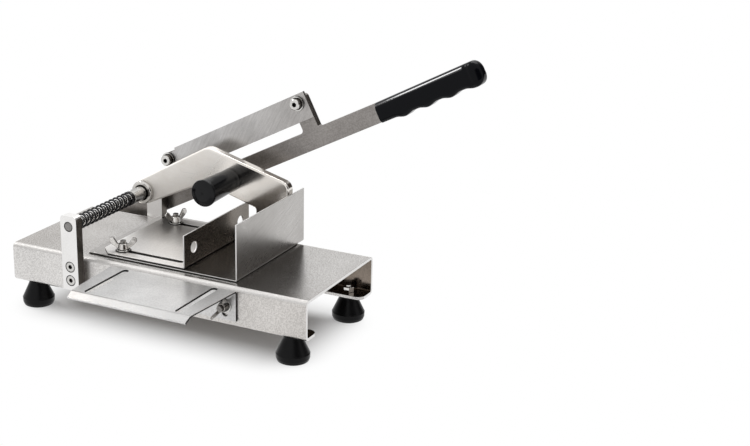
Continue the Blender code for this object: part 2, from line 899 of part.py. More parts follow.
def make_pusher():
    origin = (rod_x, plate_front, rod_z)
    bore = circle(rod_x, rod_z, sleeve_radius + gap, round_sides)
    screw_hole = circle(handle_x, handle_z, handle_screw_radius + gap)
    outline = [pusher_outline(), bore, screw_hole]
    plate = placed(extruded("pusher_plate", outline, plate_front, plate_back, "XZ", origin), steel)
    pocket_front = plate_front + pusher_sheet
    pocket = extruded("pusher_pocket", [pocket_outline()], pocket_front, plate_back + overrun, "XZ")
    cut(plate, as_cutter(pocket))
    sleeve_bore = rod_radius + sleeve_run_clearance
    sleeve = ring("pusher_sleeve", sleeve_radius, sleeve_bore, -sleeve_back, -sleeve_front, round_sides)
    placed(facing(sleeve, (rod_x, 0, rod_z), "-Y"), steel)
    collar_back = plate_front - gap
    collar = ring("pusher_collar", collar_radius, sleeve_radius + gap, 0, collar_length, round_sides)
    placed(facing(collar, (rod_x, collar_back, rod_z), "-Y"), steel)
    make_handle()


def make_handle():
    """The pusher's turned grip and the screw that holds it from behind the plate."""
    waist = handle_length * handle_waist_share
    profile = [
        (0, handle_length),
        (handle_end_radius - handle_corner, handle_length),
        (handle_end_radius, handle_length - handle_corner),
        (handle_waist_radius, waist),
        (handle_root_radius, handle_corner),
        (handle_root_radius - handle_corner, 0),
        (handle_screw_radius + gap, 0),
        (handle_screw_radius + gap, handle_screw_length + gap),
        (0, handle_screw_length + gap),
    ]
    handle = turned("pusher_handle", profile, round_sides, closed=True)
    placed(facing(handle, (handle_x, plate_front - gap, handle_z), "-Y"), black_plastic)
    screw = [
        (0, pusher_sheet + 2 * gap + handle_screw_length),
        (handle_screw_radius, pusher_sheet + 2 * gap + handle_screw_length),
        (handle_screw_radius, 0),
        (handle_screw_head_radius, 0),
        (handle_screw_head_radius, -handle_screw_head_height),
        (0, -handle_screw_head_height),
    ]
    head_face = plate_front + pusher_sheet + gap
    placed(facing(turned("pusher_handle_screw", screw), (handle_x, head_face, handle_z), "-Y"), steel)


def spring_path():
    """Points along the spring's wire: a helix about Y whose end turns lie close."""
    first = spring_front + spring_wire_radius
    rise = spring_length - 2 * spring_wire_radius
    steps = spring_turns * curl_points
    at_end = spring_end_turns * curl_points
    close_rise = (2 * spring_wire_radius + spring_end_gap) / curl_points
    middle_rise = (rise - 2 * at_end * close_rise) / (steps - 2 * at_end)
    points = []
    y = first
    for step in range(steps + 1):
        angle = math.tau * step / curl_points
        x = rod_x + spring_radius * math.cos(angle)
        points.append(Vector((x, y, rod_z + spring_radius * math.sin(angle))))
        y += middle_rise if at_end <= step < steps - at_end else close_rise
    return points


def least_spring_gap(points):
    """The least gap between stretches of wire that lie at least half a turn apart."""
    places = np.array([tuple(point) for point in points])
    least = math.inf
    for index in range(len(places) - curl_points // 2 - 1):
        others = places[index + curl_points // 2 :]
        starts, ends = others[:-1], others[1:]
        runs = ends - starts
        share = ((places[index] - starts) * runs).sum(axis=1) / (runs**2).sum(axis=1)
        nearest = starts + np.clip(share, 0, 1)[:, None] * runs
        least = min(least, np.linalg.norm(nearest - places[index], axis=1).min())
    return least - 2 * spring_wire_radius


def make_spring():
    points = spring_path()
    curve = bpy.data.curves.new("pusher_spring", "CURVE")
    curve.dimensions = "3D"
    curve.bevel_depth = spring_wire_radius
    curve.bevel_resolution = 1
    curve.use_fill_caps = True
    spline = curve.splines.new("POLY")
    spline.points.add(len(points) - 1)
    for place, point in zip(spline.points, points):
        place.co = (*point, 1)
    wire = bpy.data.objects.new("pusher_spring_wire", curve)
    bpy.context.scene.collection.objects.link(wire)
    placed(bpy.data.objects.new("pusher_spring", solid_mesh(wire, Matrix.Identity(4))), dark_steel)
    print(f"spring: least gap to itself {least_spring_gap(points):.5f} m")
    bore = rod_radius + sleeve_run_clearance
    seat = ring("spring_washer", sleeve_radius, bore, 0, spring_washer_thickness)
    placed(facing(seat, (rod_x, spring_washer_back, rod_z), "-Y"), steel)


# Lever, in its own frame: X along the bar from the pivot, Z across it, Y from the bar's front face


def upright_places():
    """The middles of the left and right bolts along the bar."""
    return (blade_right_bolt - blade_bolt_pitch, blade_right_bolt)


def lever_outline():
    left, right = upright_places()
    tang_end = lever_bar_length + lever_tang_length
    half_tang = lever_tang_width / 2
    half_left = left_upright_width / 2
    right_edge = right + right_upright_past_bolt
    right_start = right_edge - right_upright_width
    tail = arc(0, 0, lever_width / 2, math.pi / 2, 3 * math.pi / 2, small_sides)
    return rounded(
        [(point.x, point.y, 0) for point in tail]
        + [
            (lever_bar_length, lever_low, 0),
            (lever_bar_length, -half_tang, 0),
            (tang_end, -half_tang, 0),
            (tang_end, half_tang, 0),
            (lever_bar_length, half_tang, 0),
            (lever_bar_length, lever_high, 0),
            (right_edge, lever_high, lever_fillet / 2),
            (right_edge, upright_height, lever_fillet),
            (right_start, upright_height, lever_fillet),
            (right_start, lever_high, lever_fillet),
            (left + half_left, lever_high, lever_fillet),
            (left + half_left, upright_height, lever_fillet),
            (left - half_left, upright_height, lever_fillet),
            (left - half_left, lever_high, lever_fillet),
        ]
    )


def make_lever():
    turn = joint_point("lever_pivot", (pivot_x, lever_front, pivot_z), -lever_raised)
    holes = [circle(x, blade_bolt_rise, blade_bolt_radius + gap) for x in upright_places()]
    pivot = circle(0, 0, pivot_radius + gap, round_sides)
    outline = [lever_outline(), pivot] + holes
    placed(extruded("lever_arm", outline, 0, lever_thickness, "XZ"), steel, turn)
    make_grip(turn)
    make_blade(turn)


def grip_swell(along):
    """How far the grip's underside swells between the fingers, at a distance from its start."""
    swell = 0
    for finger in range(grip_finger_count):
        from_middle = (along - grip_first_finger - finger * grip_finger_pitch) / grip_finger_width
        if abs(from_middle) < 1 / 2:
            swell = grip_finger_depth * math.cos(math.pi * from_middle) ** 2
    return swell


def grip_ring(along, draw):
    """The grip's section at a distance from its start, drawn in all round by an amount."""
    middle = lever_thickness / 2
    half = grip_thickness / 2 - draw
    top = grip_start_above + (grip_end_above - grip_start_above) * along / grip_length - draw
    low = -grip_below - grip_swell(along) + draw
    edge = max(grip_edge - draw, grip_edge * grip_least_edge_share)
    corners = [(-half, low, edge), (half, low, edge), (half, top, edge), (-half, top, edge)]
    return [(lever_bar_length + gap + along, middle + point.x, point.y) for point in rounded(corners)]


def lofted(name, rings):
    """A skin through rings of equal counts, with both of its ends closed."""
    form = bmesh.new()
    sides = len(rings[0])
    bmesh.ops.create_grid(form, x_segments=len(rings) - 1, y_segments=sides, size=1)
    for vert in form.verts:
        station = round((vert.co.x + 1) / 2 * (len(rings) - 1))
        place = round((vert.co.y + 1) / 2 * sides) % sides
        vert.co = rings[station][place]
    bmesh.ops.remove_doubles(form, verts=form.verts, dist=weld_distance)
    bmesh.ops.holes_fill(form, edges=form.edges, sides=0)
    bmesh.ops.recalc_face_normals(form, faces=form.faces)
    mesh = bpy.data.meshes.new(name)
    form.to_mesh(mesh)
    form.free()
    return bpy.data.objects.new(name, mesh)


def make_grip(turn):
    """The moulded grip, round the tang that the lever's bar ends in."""
    length = grip_length - gap
    straight = length - grip_end_corner
    stations = [(straight * step / grip_stations, 0) for step in range(grip_stations + 1)]
    for step in range(1, arc_steps):
        angle = math.pi / 2 * step / arc_steps
        draw = grip_end_corner * (1 - math.cos(angle))
        stations.append((straight + grip_end_corner * math.sin(angle), draw))
    stations.append((length, grip_end_corner * grip_end_draw_share))
    grip = placed(lofted("lever_grip", [grip_ring(*station) for station in stations]), black_plastic, turn)
    half = lever_tang_width / 2 + gap
    start = lever_bar_length - overrun
    end = lever_bar_length + lever_tang_length + gap
    socket = [Vector((start, -half)), Vector((end, -half)), Vector((end, half)), Vector((start, half))]
    hollow = as_cutter(extruded("grip_socket", [socket], -gap, lever_thickness + gap, "XZ"))
    hollow.parent = turn
    cut(grip, hollow)


def make_blade(turn):
    left_bolt, right_bolt = upright_places()
    right = right_bolt + blade_past_right_bolt
    left = right - blade_length
    low = blade_edge_above_pivot
    high = low + blade_width
    shim_back = -gap
    blade_back = shim_back - blade_shim_thickness - gap
    blade_front = blade_back - blade_thickness
    tang_low = blade_bolt_rise - blade_tang_width / 2
    tang_high = min(blade_bolt_rise + blade_tang_width / 2, high)
    tang_left = left_bolt - blade_tang_end
    outline = rounded(
        [
            (left, low, 0),
            (right, low, 0),
            (right, high, 0),
            (left, high, 0),
            (left, tang_high, 0),
            (tang_left, tang_high, blade_tang_width / 3),
            (tang_left, tang_low, blade_tang_width / 3),
            (left, tang_low, 0),
        ]
    )
    holes = [circle(x, blade_bolt_rise, blade_bolt_radius + gap) for x in (left_bolt, right_bolt)]
    blade = placed(extruded("blade", [outline] + holes, blade_front, blade_back, "XZ"), steel, turn)
    ground = [
        Vector((blade_back + overrun, low - overrun)),
        Vector((blade_front + blade_edge_thickness, low - overrun)),
        Vector((blade_front + blade_edge_thickness, low)),
        Vector((blade_back, low + blade_bevel_width)),
        Vector((blade_back + overrun, low + blade_bevel_width)),
    ]
    grind = as_cutter(extruded("blade_grind", [ground], left - overrun, right + overrun, "YZ"))
    grind.parent = turn
    cut(blade, grind)
    for side, x in (("left", left_bolt), ("right", right_bolt)):
        place = Vector((x, 0, blade_bolt_rise))
        bore = blade_bolt_radius + gap
        shim = ring("blade_shim_" + side, blade_shim_radius, bore, 0, blade_shim_thickness)
        placed(facing(shim, place + Vector((0, shim_back, 0)), "-Y"), dark_steel, turn)
        flat = blade_front - gap
        disc = ring("blade_washer_" + side, blade_washer_radius, bore, 0, blade_washer_thickness)
        placed(facing(disc, place + Vector((0, flat, 0)), "-Y"), steel, turn)
        make_blade_bolt("blade_bolt_" + side, place, flat - blade_washer_thickness - gap, turn)


def make_blade_bolt(name, place, head_back, turn):
    """A socket-head bolt through washer, blade and shim into the upright."""
    head = blade_bolt_head_height
    profile = [
        (0, head),
        (blade_bolt_head_radius - blade_bolt_corner, head),
        (blade_bolt_head_radius, head - blade_bolt_corner),
        (blade_bolt_head_radius, 0),
        (blade_bolt_radius, 0),
        (blade_bolt_radius, head_back - blade_bolt_sink),
        (0, head_back - blade_bolt_sink),
    ]
    at = place + Vector((0, head_back, 0))
    bolt = placed(facing(turned(name, profile), at, "-Y"), dark_steel, turn)
    key = rod(name + "_key", blade_bolt_key, head - blade_bolt_key_depth, head + overrun, hex_sides)
    key = as_cutter(facing(key, at, "-Y"))
    key.parent = turn
    cut(bolt, key)


def make_pivot():
    """The bolt that the lever turns on, with its spacer on the apron and its washer and nut behind."""
    spacer_back = base_back + gap
    bore = pivot_radius + gap
    spacer = ring("pivot_spacer", pivot_spacer_radius, bore, 0, lever_front - gap - spacer_back)
    placed(facing(spacer, (pivot_x, spacer_back, pivot_z), "+Y"), steel)
    lever_back = lever_front + lever_thickness
    washer_front = lever_back + gap
    place = (pivot_x, washer_front, pivot_z)
    washer("pivot_washer", place, "+Y", pivot_washer_radius, washer_thickness, bore)
    nut_front = washer_front + washer_thickness + gap
    nut = rod("pivot_nut", pivot_head_radius, 0, pivot_nut_height, hex_sides)
    placed(facing(nut, (pivot_x, nut_front, pivot_z), "+Y"), steel)
    hole = as_cutter(rod("pivot_nut_bore", bore, -overrun, pivot_nut_height + overrun))
    cut(nut, facing(hole, (pivot_x, nut_front, pivot_z), "+Y"))
    head_face = base_back - base_sheet - gap
    reach = nut_front + pivot_nut_height + pivot_end - head_face
    bolt = rod("pivot_bolt", pivot_head_radius, -pivot_head_height, 0, hex_sides)
    placed(facing(bolt, (pivot_x, head_face, pivot_z), "+Y"), steel)
    shank = as_cutter(rod("pivot_shank", pivot_radius, -pivot_head_height / 2, reach, round_sides))
    cut(bolt, facing(shank, (pivot_x, head_face, pivot_z), "+Y"), "UNION")


def main():
    clear_scene()
    Group.parts = new_collection("frozen_meat_slicer")
    Group.cutters = new_collection("cutters")
    make_base()
    make_feet()
    make_posts_and_rod()
    make_tray()
    make_guide()
    make_extension()
    make_pusher()
    make_spring()
    make_lever()
    make_pivot()


main()
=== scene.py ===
"""The frozen meat slicer's looks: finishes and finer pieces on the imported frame, with its floor, light and camera.

Lengths are in metres, in the frame's own axes: X along the base, Y from the front to the blade, Z up.
"""

import json
import math

import bmesh
import bpy
from mathutils import Matrix, Vector


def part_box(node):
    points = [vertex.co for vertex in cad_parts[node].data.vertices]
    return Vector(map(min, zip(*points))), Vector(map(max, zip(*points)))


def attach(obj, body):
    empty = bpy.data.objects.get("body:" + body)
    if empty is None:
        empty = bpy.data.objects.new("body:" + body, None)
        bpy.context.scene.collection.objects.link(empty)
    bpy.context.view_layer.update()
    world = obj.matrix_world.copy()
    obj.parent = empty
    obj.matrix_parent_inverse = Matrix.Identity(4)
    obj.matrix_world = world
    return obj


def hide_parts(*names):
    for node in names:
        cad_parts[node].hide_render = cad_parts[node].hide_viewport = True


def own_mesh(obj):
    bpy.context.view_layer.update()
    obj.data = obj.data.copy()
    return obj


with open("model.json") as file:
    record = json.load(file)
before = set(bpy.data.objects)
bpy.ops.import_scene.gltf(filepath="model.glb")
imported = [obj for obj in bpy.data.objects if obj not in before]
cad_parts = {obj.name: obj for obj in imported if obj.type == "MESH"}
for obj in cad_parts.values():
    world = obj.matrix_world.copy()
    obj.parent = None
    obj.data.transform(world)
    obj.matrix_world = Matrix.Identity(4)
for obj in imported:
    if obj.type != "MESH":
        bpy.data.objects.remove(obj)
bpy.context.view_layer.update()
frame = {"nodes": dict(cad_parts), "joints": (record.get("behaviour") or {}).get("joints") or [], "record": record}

BODIES = frame["record"]["behaviour"]["bodies"]
BODY_OF = {name: body for body, names in BODIES.items() for name in names}
JOINTS = {joint["name"]: joint for joint in frame["joints"]}
LEVER_LEAN = math.radians(27.1)
LEVER = Matrix.Translation(JOINTS["lever_swing"]["pos_m"]) @ Matrix.Rotation(-LEVER_LEAN, 4, "Y")
SIDES = 48
MERGE = 1e-6


# Shader building


def plug(tree, socket, value):
    """Links another node's output to an input, or sets the input's value."""
    if isinstance(value, bpy.types.NodeSocket):
        tree.links.new(value, socket)
    else:
        socket.default_value = value


def add_node(tree, kind, settings=None, **inputs):
    """A shader node with its settings, and its inputs given by name, or by number as in0 and so on."""
    made = tree.nodes.new(kind)
    for name, value in (settings or {}).items():
        setattr(made, name, value)
    for name, value in inputs.items():
        plug(tree, made.inputs[int(name[2:]) if name.startswith("in") else name.replace("_", " ")], value)
    return made


def new_group(name, inputs, outputs):
    """A shader node group with its input and output sockets. Returns its tree, its input node and its output node."""
    tree = bpy.data.node_groups.new(name, "ShaderNodeTree")
    for socket, kind, value in inputs:
        made = tree.interface.new_socket(socket, in_out="INPUT", socket_type=kind)
        if value is not None:
            made.default_value = value
    for socket, kind in outputs:
        tree.interface.new_socket(socket, in_out="OUTPUT", socket_type=kind)
    return tree, tree.nodes.new("NodeGroupInput"), tree.nodes.new("NodeGroupOutput")


def ramp(tree, factor, low, high, first=0.0, last=1.0):
    """Spreads a mask between two limits to run from first to last."""
    made = add_node(tree, "ShaderNodeMapRange", {"clamp": True}, in0=factor, in1=low, in2=high, in3=first, in4=last)
    return made.outputs[0]


def blend_colors(tree, factor, first, second, how="MIX"):
    made = add_node(tree, "ShaderNodeMix", {"data_type": "RGBA", "blend_type": how}, in0=factor, in6=first, in7=second)
    return made.outputs[2]


def times(tree, first, second):
    return add_node(tree, "ShaderNodeMath", {"operation": "MULTIPLY"}, in0=first, in1=second).outputs[0]


def plus(tree, first, second):
    return add_node(tree, "ShaderNodeMath", {"operation": "ADD"}, in0=first, in1=second).outputs[0]


def larger(tree, first, second):
    return add_node(tree, "ShaderNodeMath", {"operation": "MAXIMUM"}, in0=first, in1=second).outputs[0]


def grain_group():
    """Fine streaks of a brushed or ground surface, broad clouds over them, and the specks of a satin one."""
    inputs = [("Vector", "NodeSocketVector", None), ("Place", "NodeSocketVector", None)]
    outputs = [("Streaks", "NodeSocketFloat"), ("Clouds", "NodeSocketFloat"), ("Specks", "NodeSocketFloat")]
    tree, given, result = new_group("brushed_grain", inputs, outputs)
    for output, vector, scale, detail, roughness in (
        ("Streaks", "Vector", 1.0, 4.0, 0.75),
        ("Clouds", "Place", 22.0, 3.0, 0.5),
        ("Specks", "Place", 780.0, 2.0, 0.6),
    ):
        noise = {"Vector": given.outputs[vector], "Scale": scale, "Detail": detail, "Roughness": roughness}
        tree.links.new(add_node(tree, "ShaderNodeTexNoise", **noise).outputs[0], result.inputs[output])
    return tree


def wear_group():
    """Hairline scratches and handling marks, as one mask."""
    inputs = [("Vector", "NodeSocketVector", None), ("Amount", "NodeSocketFloat", 0.5)]
    tree, given, result = new_group("handling_marks", inputs, [("Mask", "NodeSocketFloat")])
    vector = given.outputs["Vector"]
    bend = add_node(tree, "ShaderNodeTexNoise", Vector=vector, Scale=30.0, Detail=2.0)
    bent = blend_colors(tree, 0.03, vector, bend.outputs[1])
    lines = add_node(tree, "ShaderNodeTexVoronoi", {"feature": "DISTANCE_TO_EDGE"}, Vector=bent, Scale=55.0)
    thin = ramp(tree, lines.outputs["Distance"], 0.0, 0.012, 1.0, 0.0)
    patches = add_node(tree, "ShaderNodeTexNoise", Vector=vector, Scale=40.0, Detail=2.0)
    shown = ramp(tree, patches.outputs[0], 0.52, 0.66)
    mask = times(tree, times(tree, thin, shown), given.outputs["Amount"])
    tree.links.new(mask, result.inputs["Mask"])
    return tree


GRAIN = grain_group()
MARKS = wear_group()


def new_material(name):
    material = bpy.data.materials.new(name)
    material.use_nodes = True
    tree = material.node_tree
    return material, tree, tree.nodes["Principled BSDF"]


def connect(tree, shader, **sockets):
    for name, value in sockets.items():
        plug(tree, shader.inputs[name.replace("_", " ")], value)


STREAK_SPAN = (0.30, 0.70)
CLOUD_SPAN = (0.32, 0.68)
SPECK_SPAN = (0.42, 0.58)
SCRATCH_COLOR = (0.8, 0.79, 0.77, 1)
SCRATCH_ROUGHNESS = 0.12
# The colour of the painted rim shade, on what turns away from the eye.
RIM_SHADE_COLOR = (0.02, 0.018, 0.016, 1)
RELIEF = 0.00006


def stainless(
    name,
    bright,
    dull,
    stretch,
    roughness,
    turn=(0.0, 0.0, 0.0),
    depth=0.25,
    marks=0.3,
    speckle=0.3,
    clouds=0.4,
    rim_shade=None,
    fade=None,
    sheen=1.0,
):
    """Stainless steel. Stretch scales the grain along X, Y and Z: the smallest number lies along the brushing.

    Roughness is its least and its most. Speckle and clouds are their shares in the grain, and depth is its relief.
    Rim shade is painted shade on what turns away from the eye: where it starts, where it is full, and its share.
    Fade is painted shade: a heading, two places along it and the shade at the second. Sheen is what the
    roughness is multiplied by there.
    """
    material, tree, shader = new_material(name)
    coords = add_node(tree, "ShaderNodeTexCoord").outputs["Object"]
    turned = add_node(tree, "ShaderNodeMapping", Vector=coords, Rotation=turn).outputs[0]
    drawn = add_node(tree, "ShaderNodeMapping", Vector=turned, Scale=stretch).outputs[0]
    grain = add_node(tree, "ShaderNodeGroup", {"node_tree": GRAIN}, Vector=drawn, Place=coords)
    worn = add_node(tree, "ShaderNodeGroup", {"node_tree": MARKS}, Vector=coords, Amount=marks).outputs["Mask"]
    streaks = ramp(tree, grain.outputs["Streaks"], *STREAK_SPAN)
    cloudy = ramp(tree, grain.outputs["Clouds"], *CLOUD_SPAN)
    specks = ramp(tree, grain.outputs["Specks"], *SPECK_SPAN)
    mixed = plus(tree, times(tree, streaks, 1.0 - clouds - speckle), times(tree, cloudy, clouds))
    mixed = plus(tree, mixed, times(tree, specks, speckle))
    color = blend_colors(tree, mixed, (*dull, 1), (*bright, 1))
    color = blend_colors(tree, worn, color, SCRATCH_COLOR)
    # Painted shade: the colour darkens along a heading.
    if fade:
        heading, first, last, shade = fade
        along = add_node(tree, "ShaderNodeVectorMath", {"operation": "DOT_PRODUCT"}, in0=coords, in1=heading)
        painted_shade_mask = ramp(tree, along.outputs["Value"], first, last)
        color = blend_colors(tree, painted_shade_mask, color, (shade, shade * 0.98, shade * 0.96, 1), "MULTIPLY")
    # Painted shade: darker where the surface turns away from the eye.
    if rim_shade:
        away = add_node(tree, "ShaderNodeLayerWeight", Blend=0.5).outputs["Facing"]
        first, last, share = rim_shade
        color = blend_colors(tree, ramp(tree, away, first, last, 0.0, share), color, RIM_SHADE_COLOR)
    low, high = roughness
    rough = plus(tree, ramp(tree, mixed, 0.0, 1.0, high, low), times(tree, worn, SCRATCH_ROUGHNESS))
    if fade:
        rough = times(tree, rough, ramp(tree, painted_shade_mask, 0.0, 1.0, 1.0, sheen))
    height = plus(tree, times(tree, streaks, 0.7), times(tree, grain.outputs["Specks"], 0.3))
    bump = add_node(tree, "ShaderNodeBump", Strength=depth, Distance=RELIEF, Height=height)
    connect(tree, shader, Base_Color=color, Roughness=rough, Metallic=1.0, Normal=bump.outputs[0])
    return material


def black_moulding(name, color, roughness, pebble, gloss):
    """Black rubber or plastic with a faint moulded texture and a little dust in it."""
    material, tree, shader = new_material(name)
    coords = add_node(tree, "ShaderNodeTexCoord").outputs["Object"]
    skin = add_node(tree, "ShaderNodeTexNoise", Vector=coords, Scale=pebble, Detail=3.0, Roughness=0.6)
    dust = add_node(tree, "ShaderNodeTexNoise", Vector=coords, Scale=90.0, Detail=5.0, Roughness=0.7)
    dusty = ramp(tree, dust.outputs[0], 0.55, 0.85, 0.0, 0.35)
    shade = blend_colors(tree, dusty, (*color, 1), tuple(min(1.0, c * 2.2) for c in color) + (1,))
    rough = ramp(tree, dust.outputs[0], 0.3, 0.75, *roughness)
    bump = add_node(tree, "ShaderNodeBump", Strength=0.2, Distance=RELIEF, Height=skin.outputs[0]).outputs[0]
    connect(tree, shader, Base_Color=shade, Roughness=rough, Normal=bump, Specular_IOR_Level=gloss)
    return material


ALONG_LEVER = (0.0, LEVER_LEAN, 0.0)
ACROSS_BLADE = (0.0, math.radians(63), 0.0)
UP_THE_WALL = (math.radians(-18), 0.0, 0.0)
# In these finishes, the rim and the fade are painted shade.
FINISH = {
    # Painted shade: the deck a little darker towards its left end.
    "deck": stainless(
        "satin_sheet", (0.68, 0.665, 0.65), (0.32, 0.305, 0.29), (400, 900, 900), (0.17, 0.28),
        depth=0.6, speckle=0.65, clouds=0.20, fade=((-1, 0, 0), -0.09, 0.0, 0.92),
    ),
    # Painted light: the base's sheet painted lighter on the front apron, with painted shade towards its right end.
    "apron": stainless(
        "satin_front_painted_light", (0.86, 0.845, 0.83), (0.54, 0.525, 0.51), (500, 900, 900), (0.26, 0.38),
        depth=0.6, speckle=0.55, clouds=0.25, fade=((1, 0, 0), 0.0, 0.32, 0.84),
    ),
    "bend": stainless(
        "rolled_bend", (0.68, 0.665, 0.65), (0.54, 0.525, 0.51), (400, 900, 900), (0.48, 0.60),
        speckle=0.45, clouds=0.25,
    ),
    # Mill finish with painted shade: the base's inner faces painted dark.
    "mill": stainless(
        "mill_sheet", (0.27, 0.225, 0.19), (0.13, 0.11, 0.09), (90, 900, 900), (0.12, 0.24),
        speckle=0.3, clouds=0.5,
    ),
    "bar": stainless("ground_bar", (0.92, 0.91, 0.90), (0.80, 0.79, 0.78), (900, 900, 120), (0.28, 0.38)),
    "shade": stainless("shaded_side", (0.13, 0.115, 0.10), (0.05, 0.045, 0.04), (900, 900, 90), (0.30, 0.45)),
    # Painted highlight: cut edges and sawn ends painted brighter than the sheet.
    "edge": stainless("bright_edge", (0.84, 0.83, 0.82), (0.72, 0.71, 0.70), (200, 200, 200), (0.25, 0.40)),
    "tray": stainless(
        "brushed_sheet", (0.54, 0.525, 0.51), (0.37, 0.355, 0.34), (900, 40, 900), (0.23, 0.36), UP_THE_WALL,
        speckle=0.1,
    ),
    # Painted reflection: the tray floor darker towards its right wall, for the dark guide upright and wall mirrored in
    # it.
    "tray_floor": stainless(
        "brushed_floor", (0.50, 0.485, 0.47), (0.34, 0.325, 0.31), (900, 40, 900), (0.18, 0.28),
        speckle=0.1, fade=((1, 0, 0), 0.14, 0.19, 0.62),
    ),
    # Painted shade: the guide darker towards the back.
    "guide": stainless(
        "guide_sheet", (0.98, 0.96, 0.94), (0.74, 0.72, 0.70), (900, 60, 900), (0.30, 0.42),
        marks=0.6, fade=((0, 1, 0), 0.05, 0.10, 0.40),
    ),
    # Painted shade: the guide's right upright face painted dark.
    "upright": stainless("guide_upright", (0.25, 0.225, 0.20), (0.12, 0.105, 0.09), (900, 60, 900), (0.20, 0.34)),
    "front": stainless(
        "shelf_sheet", (0.80, 0.795, 0.79), (0.49, 0.485, 0.48), (60, 900, 900), (0.28, 0.42),
        clouds=0.5,
    ),
    "polished": stainless(
        "polished_steel", (0.74, 0.725, 0.70), (0.54, 0.52, 0.495), (160, 160, 40), (0.08, 0.18),
        depth=0.08, speckle=0.1, rim_shade=(0.35, 0.85, 0.7),
    ),
    # Painted reflection: the plate darker towards its right, where it is also smoother.
    "pressed": stainless(
        "pressed_plate", (1.0, 0.98, 0.95), (0.86, 0.82, 0.77), (90, 700, 260), (0.60, 0.72),
        depth=0.12, marks=1.0, speckle=0.1, clouds=0.65, fade=((0.8, 0, -0.6), 0.002, 0.046, 0.80), sheen=0.22,
    ),
    # Painted shade: the blade darker towards its right end.
    "blade": stainless(
        "ground_blade", (0.66, 0.65, 0.645), (0.37, 0.36, 0.355), (50, 700, 700), (0.26, 0.38), ACROSS_BLADE,
        speckle=0.1, fade=((1, 0, 0), 0.14, 0.25, 0.80),
    ),
    "lever": stainless(
        "lever_bar", (0.36, 0.34, 0.325), (0.19, 0.175, 0.165), (40, 900, 900), (0.26, 0.38), ALONG_LEVER,
    ),
    "bright": stainless(
        "bright_fastener", (0.74, 0.73, 0.71), (0.52, 0.51, 0.49), (200, 200, 200), (0.08, 0.18),
        rim_shade=(0.35, 0.85, 0.75),
    ),
    "cast": stainless(
        "cast_nut", (0.84, 0.82, 0.79), (0.46, 0.44, 0.42), (260, 260, 260), (0.05, 0.14),
        clouds=0.5, rim_shade=(0.22, 0.66, 1.0),
    ),
    "shaded_cast": stainless(
        "shaded_nut", (0.62, 0.60, 0.57), (0.18, 0.165, 0.15), (260, 260, 260), (0.05, 0.14),
        rim_shade=(0.16, 0.58, 1.0),
    ),
    "dull": stainless(
        "sawn_end", (0.34, 0.33, 0.32), (0.22, 0.215, 0.21), (700, 700, 700), (0.40, 0.55),
        speckle=0.5,
    ),
    # Threads with painted shade: the studs painted darker than the bright fasteners.
    "stud": stainless(
        "threaded_end", (0.40, 0.385, 0.37), (0.14, 0.13, 0.12), (60, 60, 1800), (0.20, 0.35),
        rim_shade=(0.35, 0.85, 0.6),
    ),
    "spring": stainless(
        "spring_wire", (0.075, 0.075, 0.08), (0.012, 0.012, 0.014), (300, 300, 300), (0.10, 0.20),
        rim_shade=(0.25, 0.70, 0.9),
    ),
    "rod": stainless("bright_rod", (0.97, 0.96, 0.94), (0.86, 0.85, 0.83), (200, 900, 200), (0.14, 0.24), depth=0.1),
    # Painted shade: the sleeve much darker along its lower part.
    "sleeve": stainless(
        "turned_sleeve", (0.86, 0.845, 0.82), (0.62, 0.60, 0.575), (200, 900, 200), (0.08, 0.16),
        depth=0.1, rim_shade=(0.35, 0.85, 0.7), fade=((0, 0, -1), -0.1055, -0.1030, 0.20),
    ),
    "shim": stainless("dark_shim", (0.10, 0.095, 0.09), (0.05, 0.05, 0.05), (300, 300, 300), (0.35, 0.5)),
    # Painted shade: near black, for sunk hexagons, slot walls, gaps under edges, washer rims and shade rings.
    "socket": stainless("socket_shade", (0.016, 0.015, 0.014), (0.008, 0.007, 0.006), (300, 300, 300), (0.4, 0.5)),
    # Painted shade: the lip a darker copy of the shelf's sheet, darker still towards its left end.
    "lip": stainless(
        "shelf_lip", (0.52, 0.515, 0.51), (0.43, 0.425, 0.42), (60, 900, 900), (0.30, 0.42),
        fade=((-1, 0, 0), -0.20, -0.105, 0.78),
    ),
    "facet": black_moulding("grip_facet", (0.0030, 0.0034, 0.0050), (0.07, 0.11), 250.0, 0.60),
    "knob": black_moulding("black_knob", (0.0030, 0.0034, 0.0046), (0.11, 0.20), 500.0, 0.22),
    "grip": black_moulding("black_grip", (0.0024, 0.0028, 0.0044), (0.10, 0.18), 700.0, 0.10),
    "rubber": black_moulding("black_rubber", (0.0035, 0.0035, 0.004), (0.26, 0.38), 1200.0, 0.14),
}


# Mesh building


def new_object(name, form, finish):
    """Puts a bmesh form into the scene as a smooth mesh object."""
    mesh = bpy.data.meshes.new(name)
    form.to_mesh(mesh)
    form.free()
    made = bpy.data.objects.new(name, mesh)
    bpy.context.scene.collection.objects.link(made)
    mesh.materials.append(finish)
    mesh.shade_smooth()
    return made


def finished(name, form, finish, replaced, smooth):
    """Makes a mesh piece that rides on the body of the nodes that it replaces. Smooth is an angle in degrees."""
    piece = new_object(name, form, FINISH[finish])
    piece.data.set_sharp_from_angle(angle=math.radians(smooth))
    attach(piece, BODY_OF[replaced[0]])
    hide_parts(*replaced)
    return piece


def merged_copy(node):
    """The node's own surface as a closed mesh whose flat places are single faces."""
    form = bmesh.new()
    form.from_mesh(frame["nodes"][node].data)
    bmesh.ops.remove_doubles(form, verts=form.verts, dist=MERGE)
    bmesh.ops.dissolve_limit(form, angle_limit=math.radians(1.0), verts=form.verts, edges=form.edges)
    return form


def break_edges(piece, width):
    """Rounds a piece's sharp edges, and shades its flat places flat."""
    bevel = piece.modifiers.new("broken_edges", "BEVEL")
    bevel.width = width
    bevel.segments = 2
    bevel.limit_method = "ANGLE"
    bevel.angle_limit = math.radians(40)
    bevel.use_clamp_overlap = True
    soft = piece.modifiers.new("even_shading", "WEIGHTED_NORMAL")
    soft.keep_sharp = True


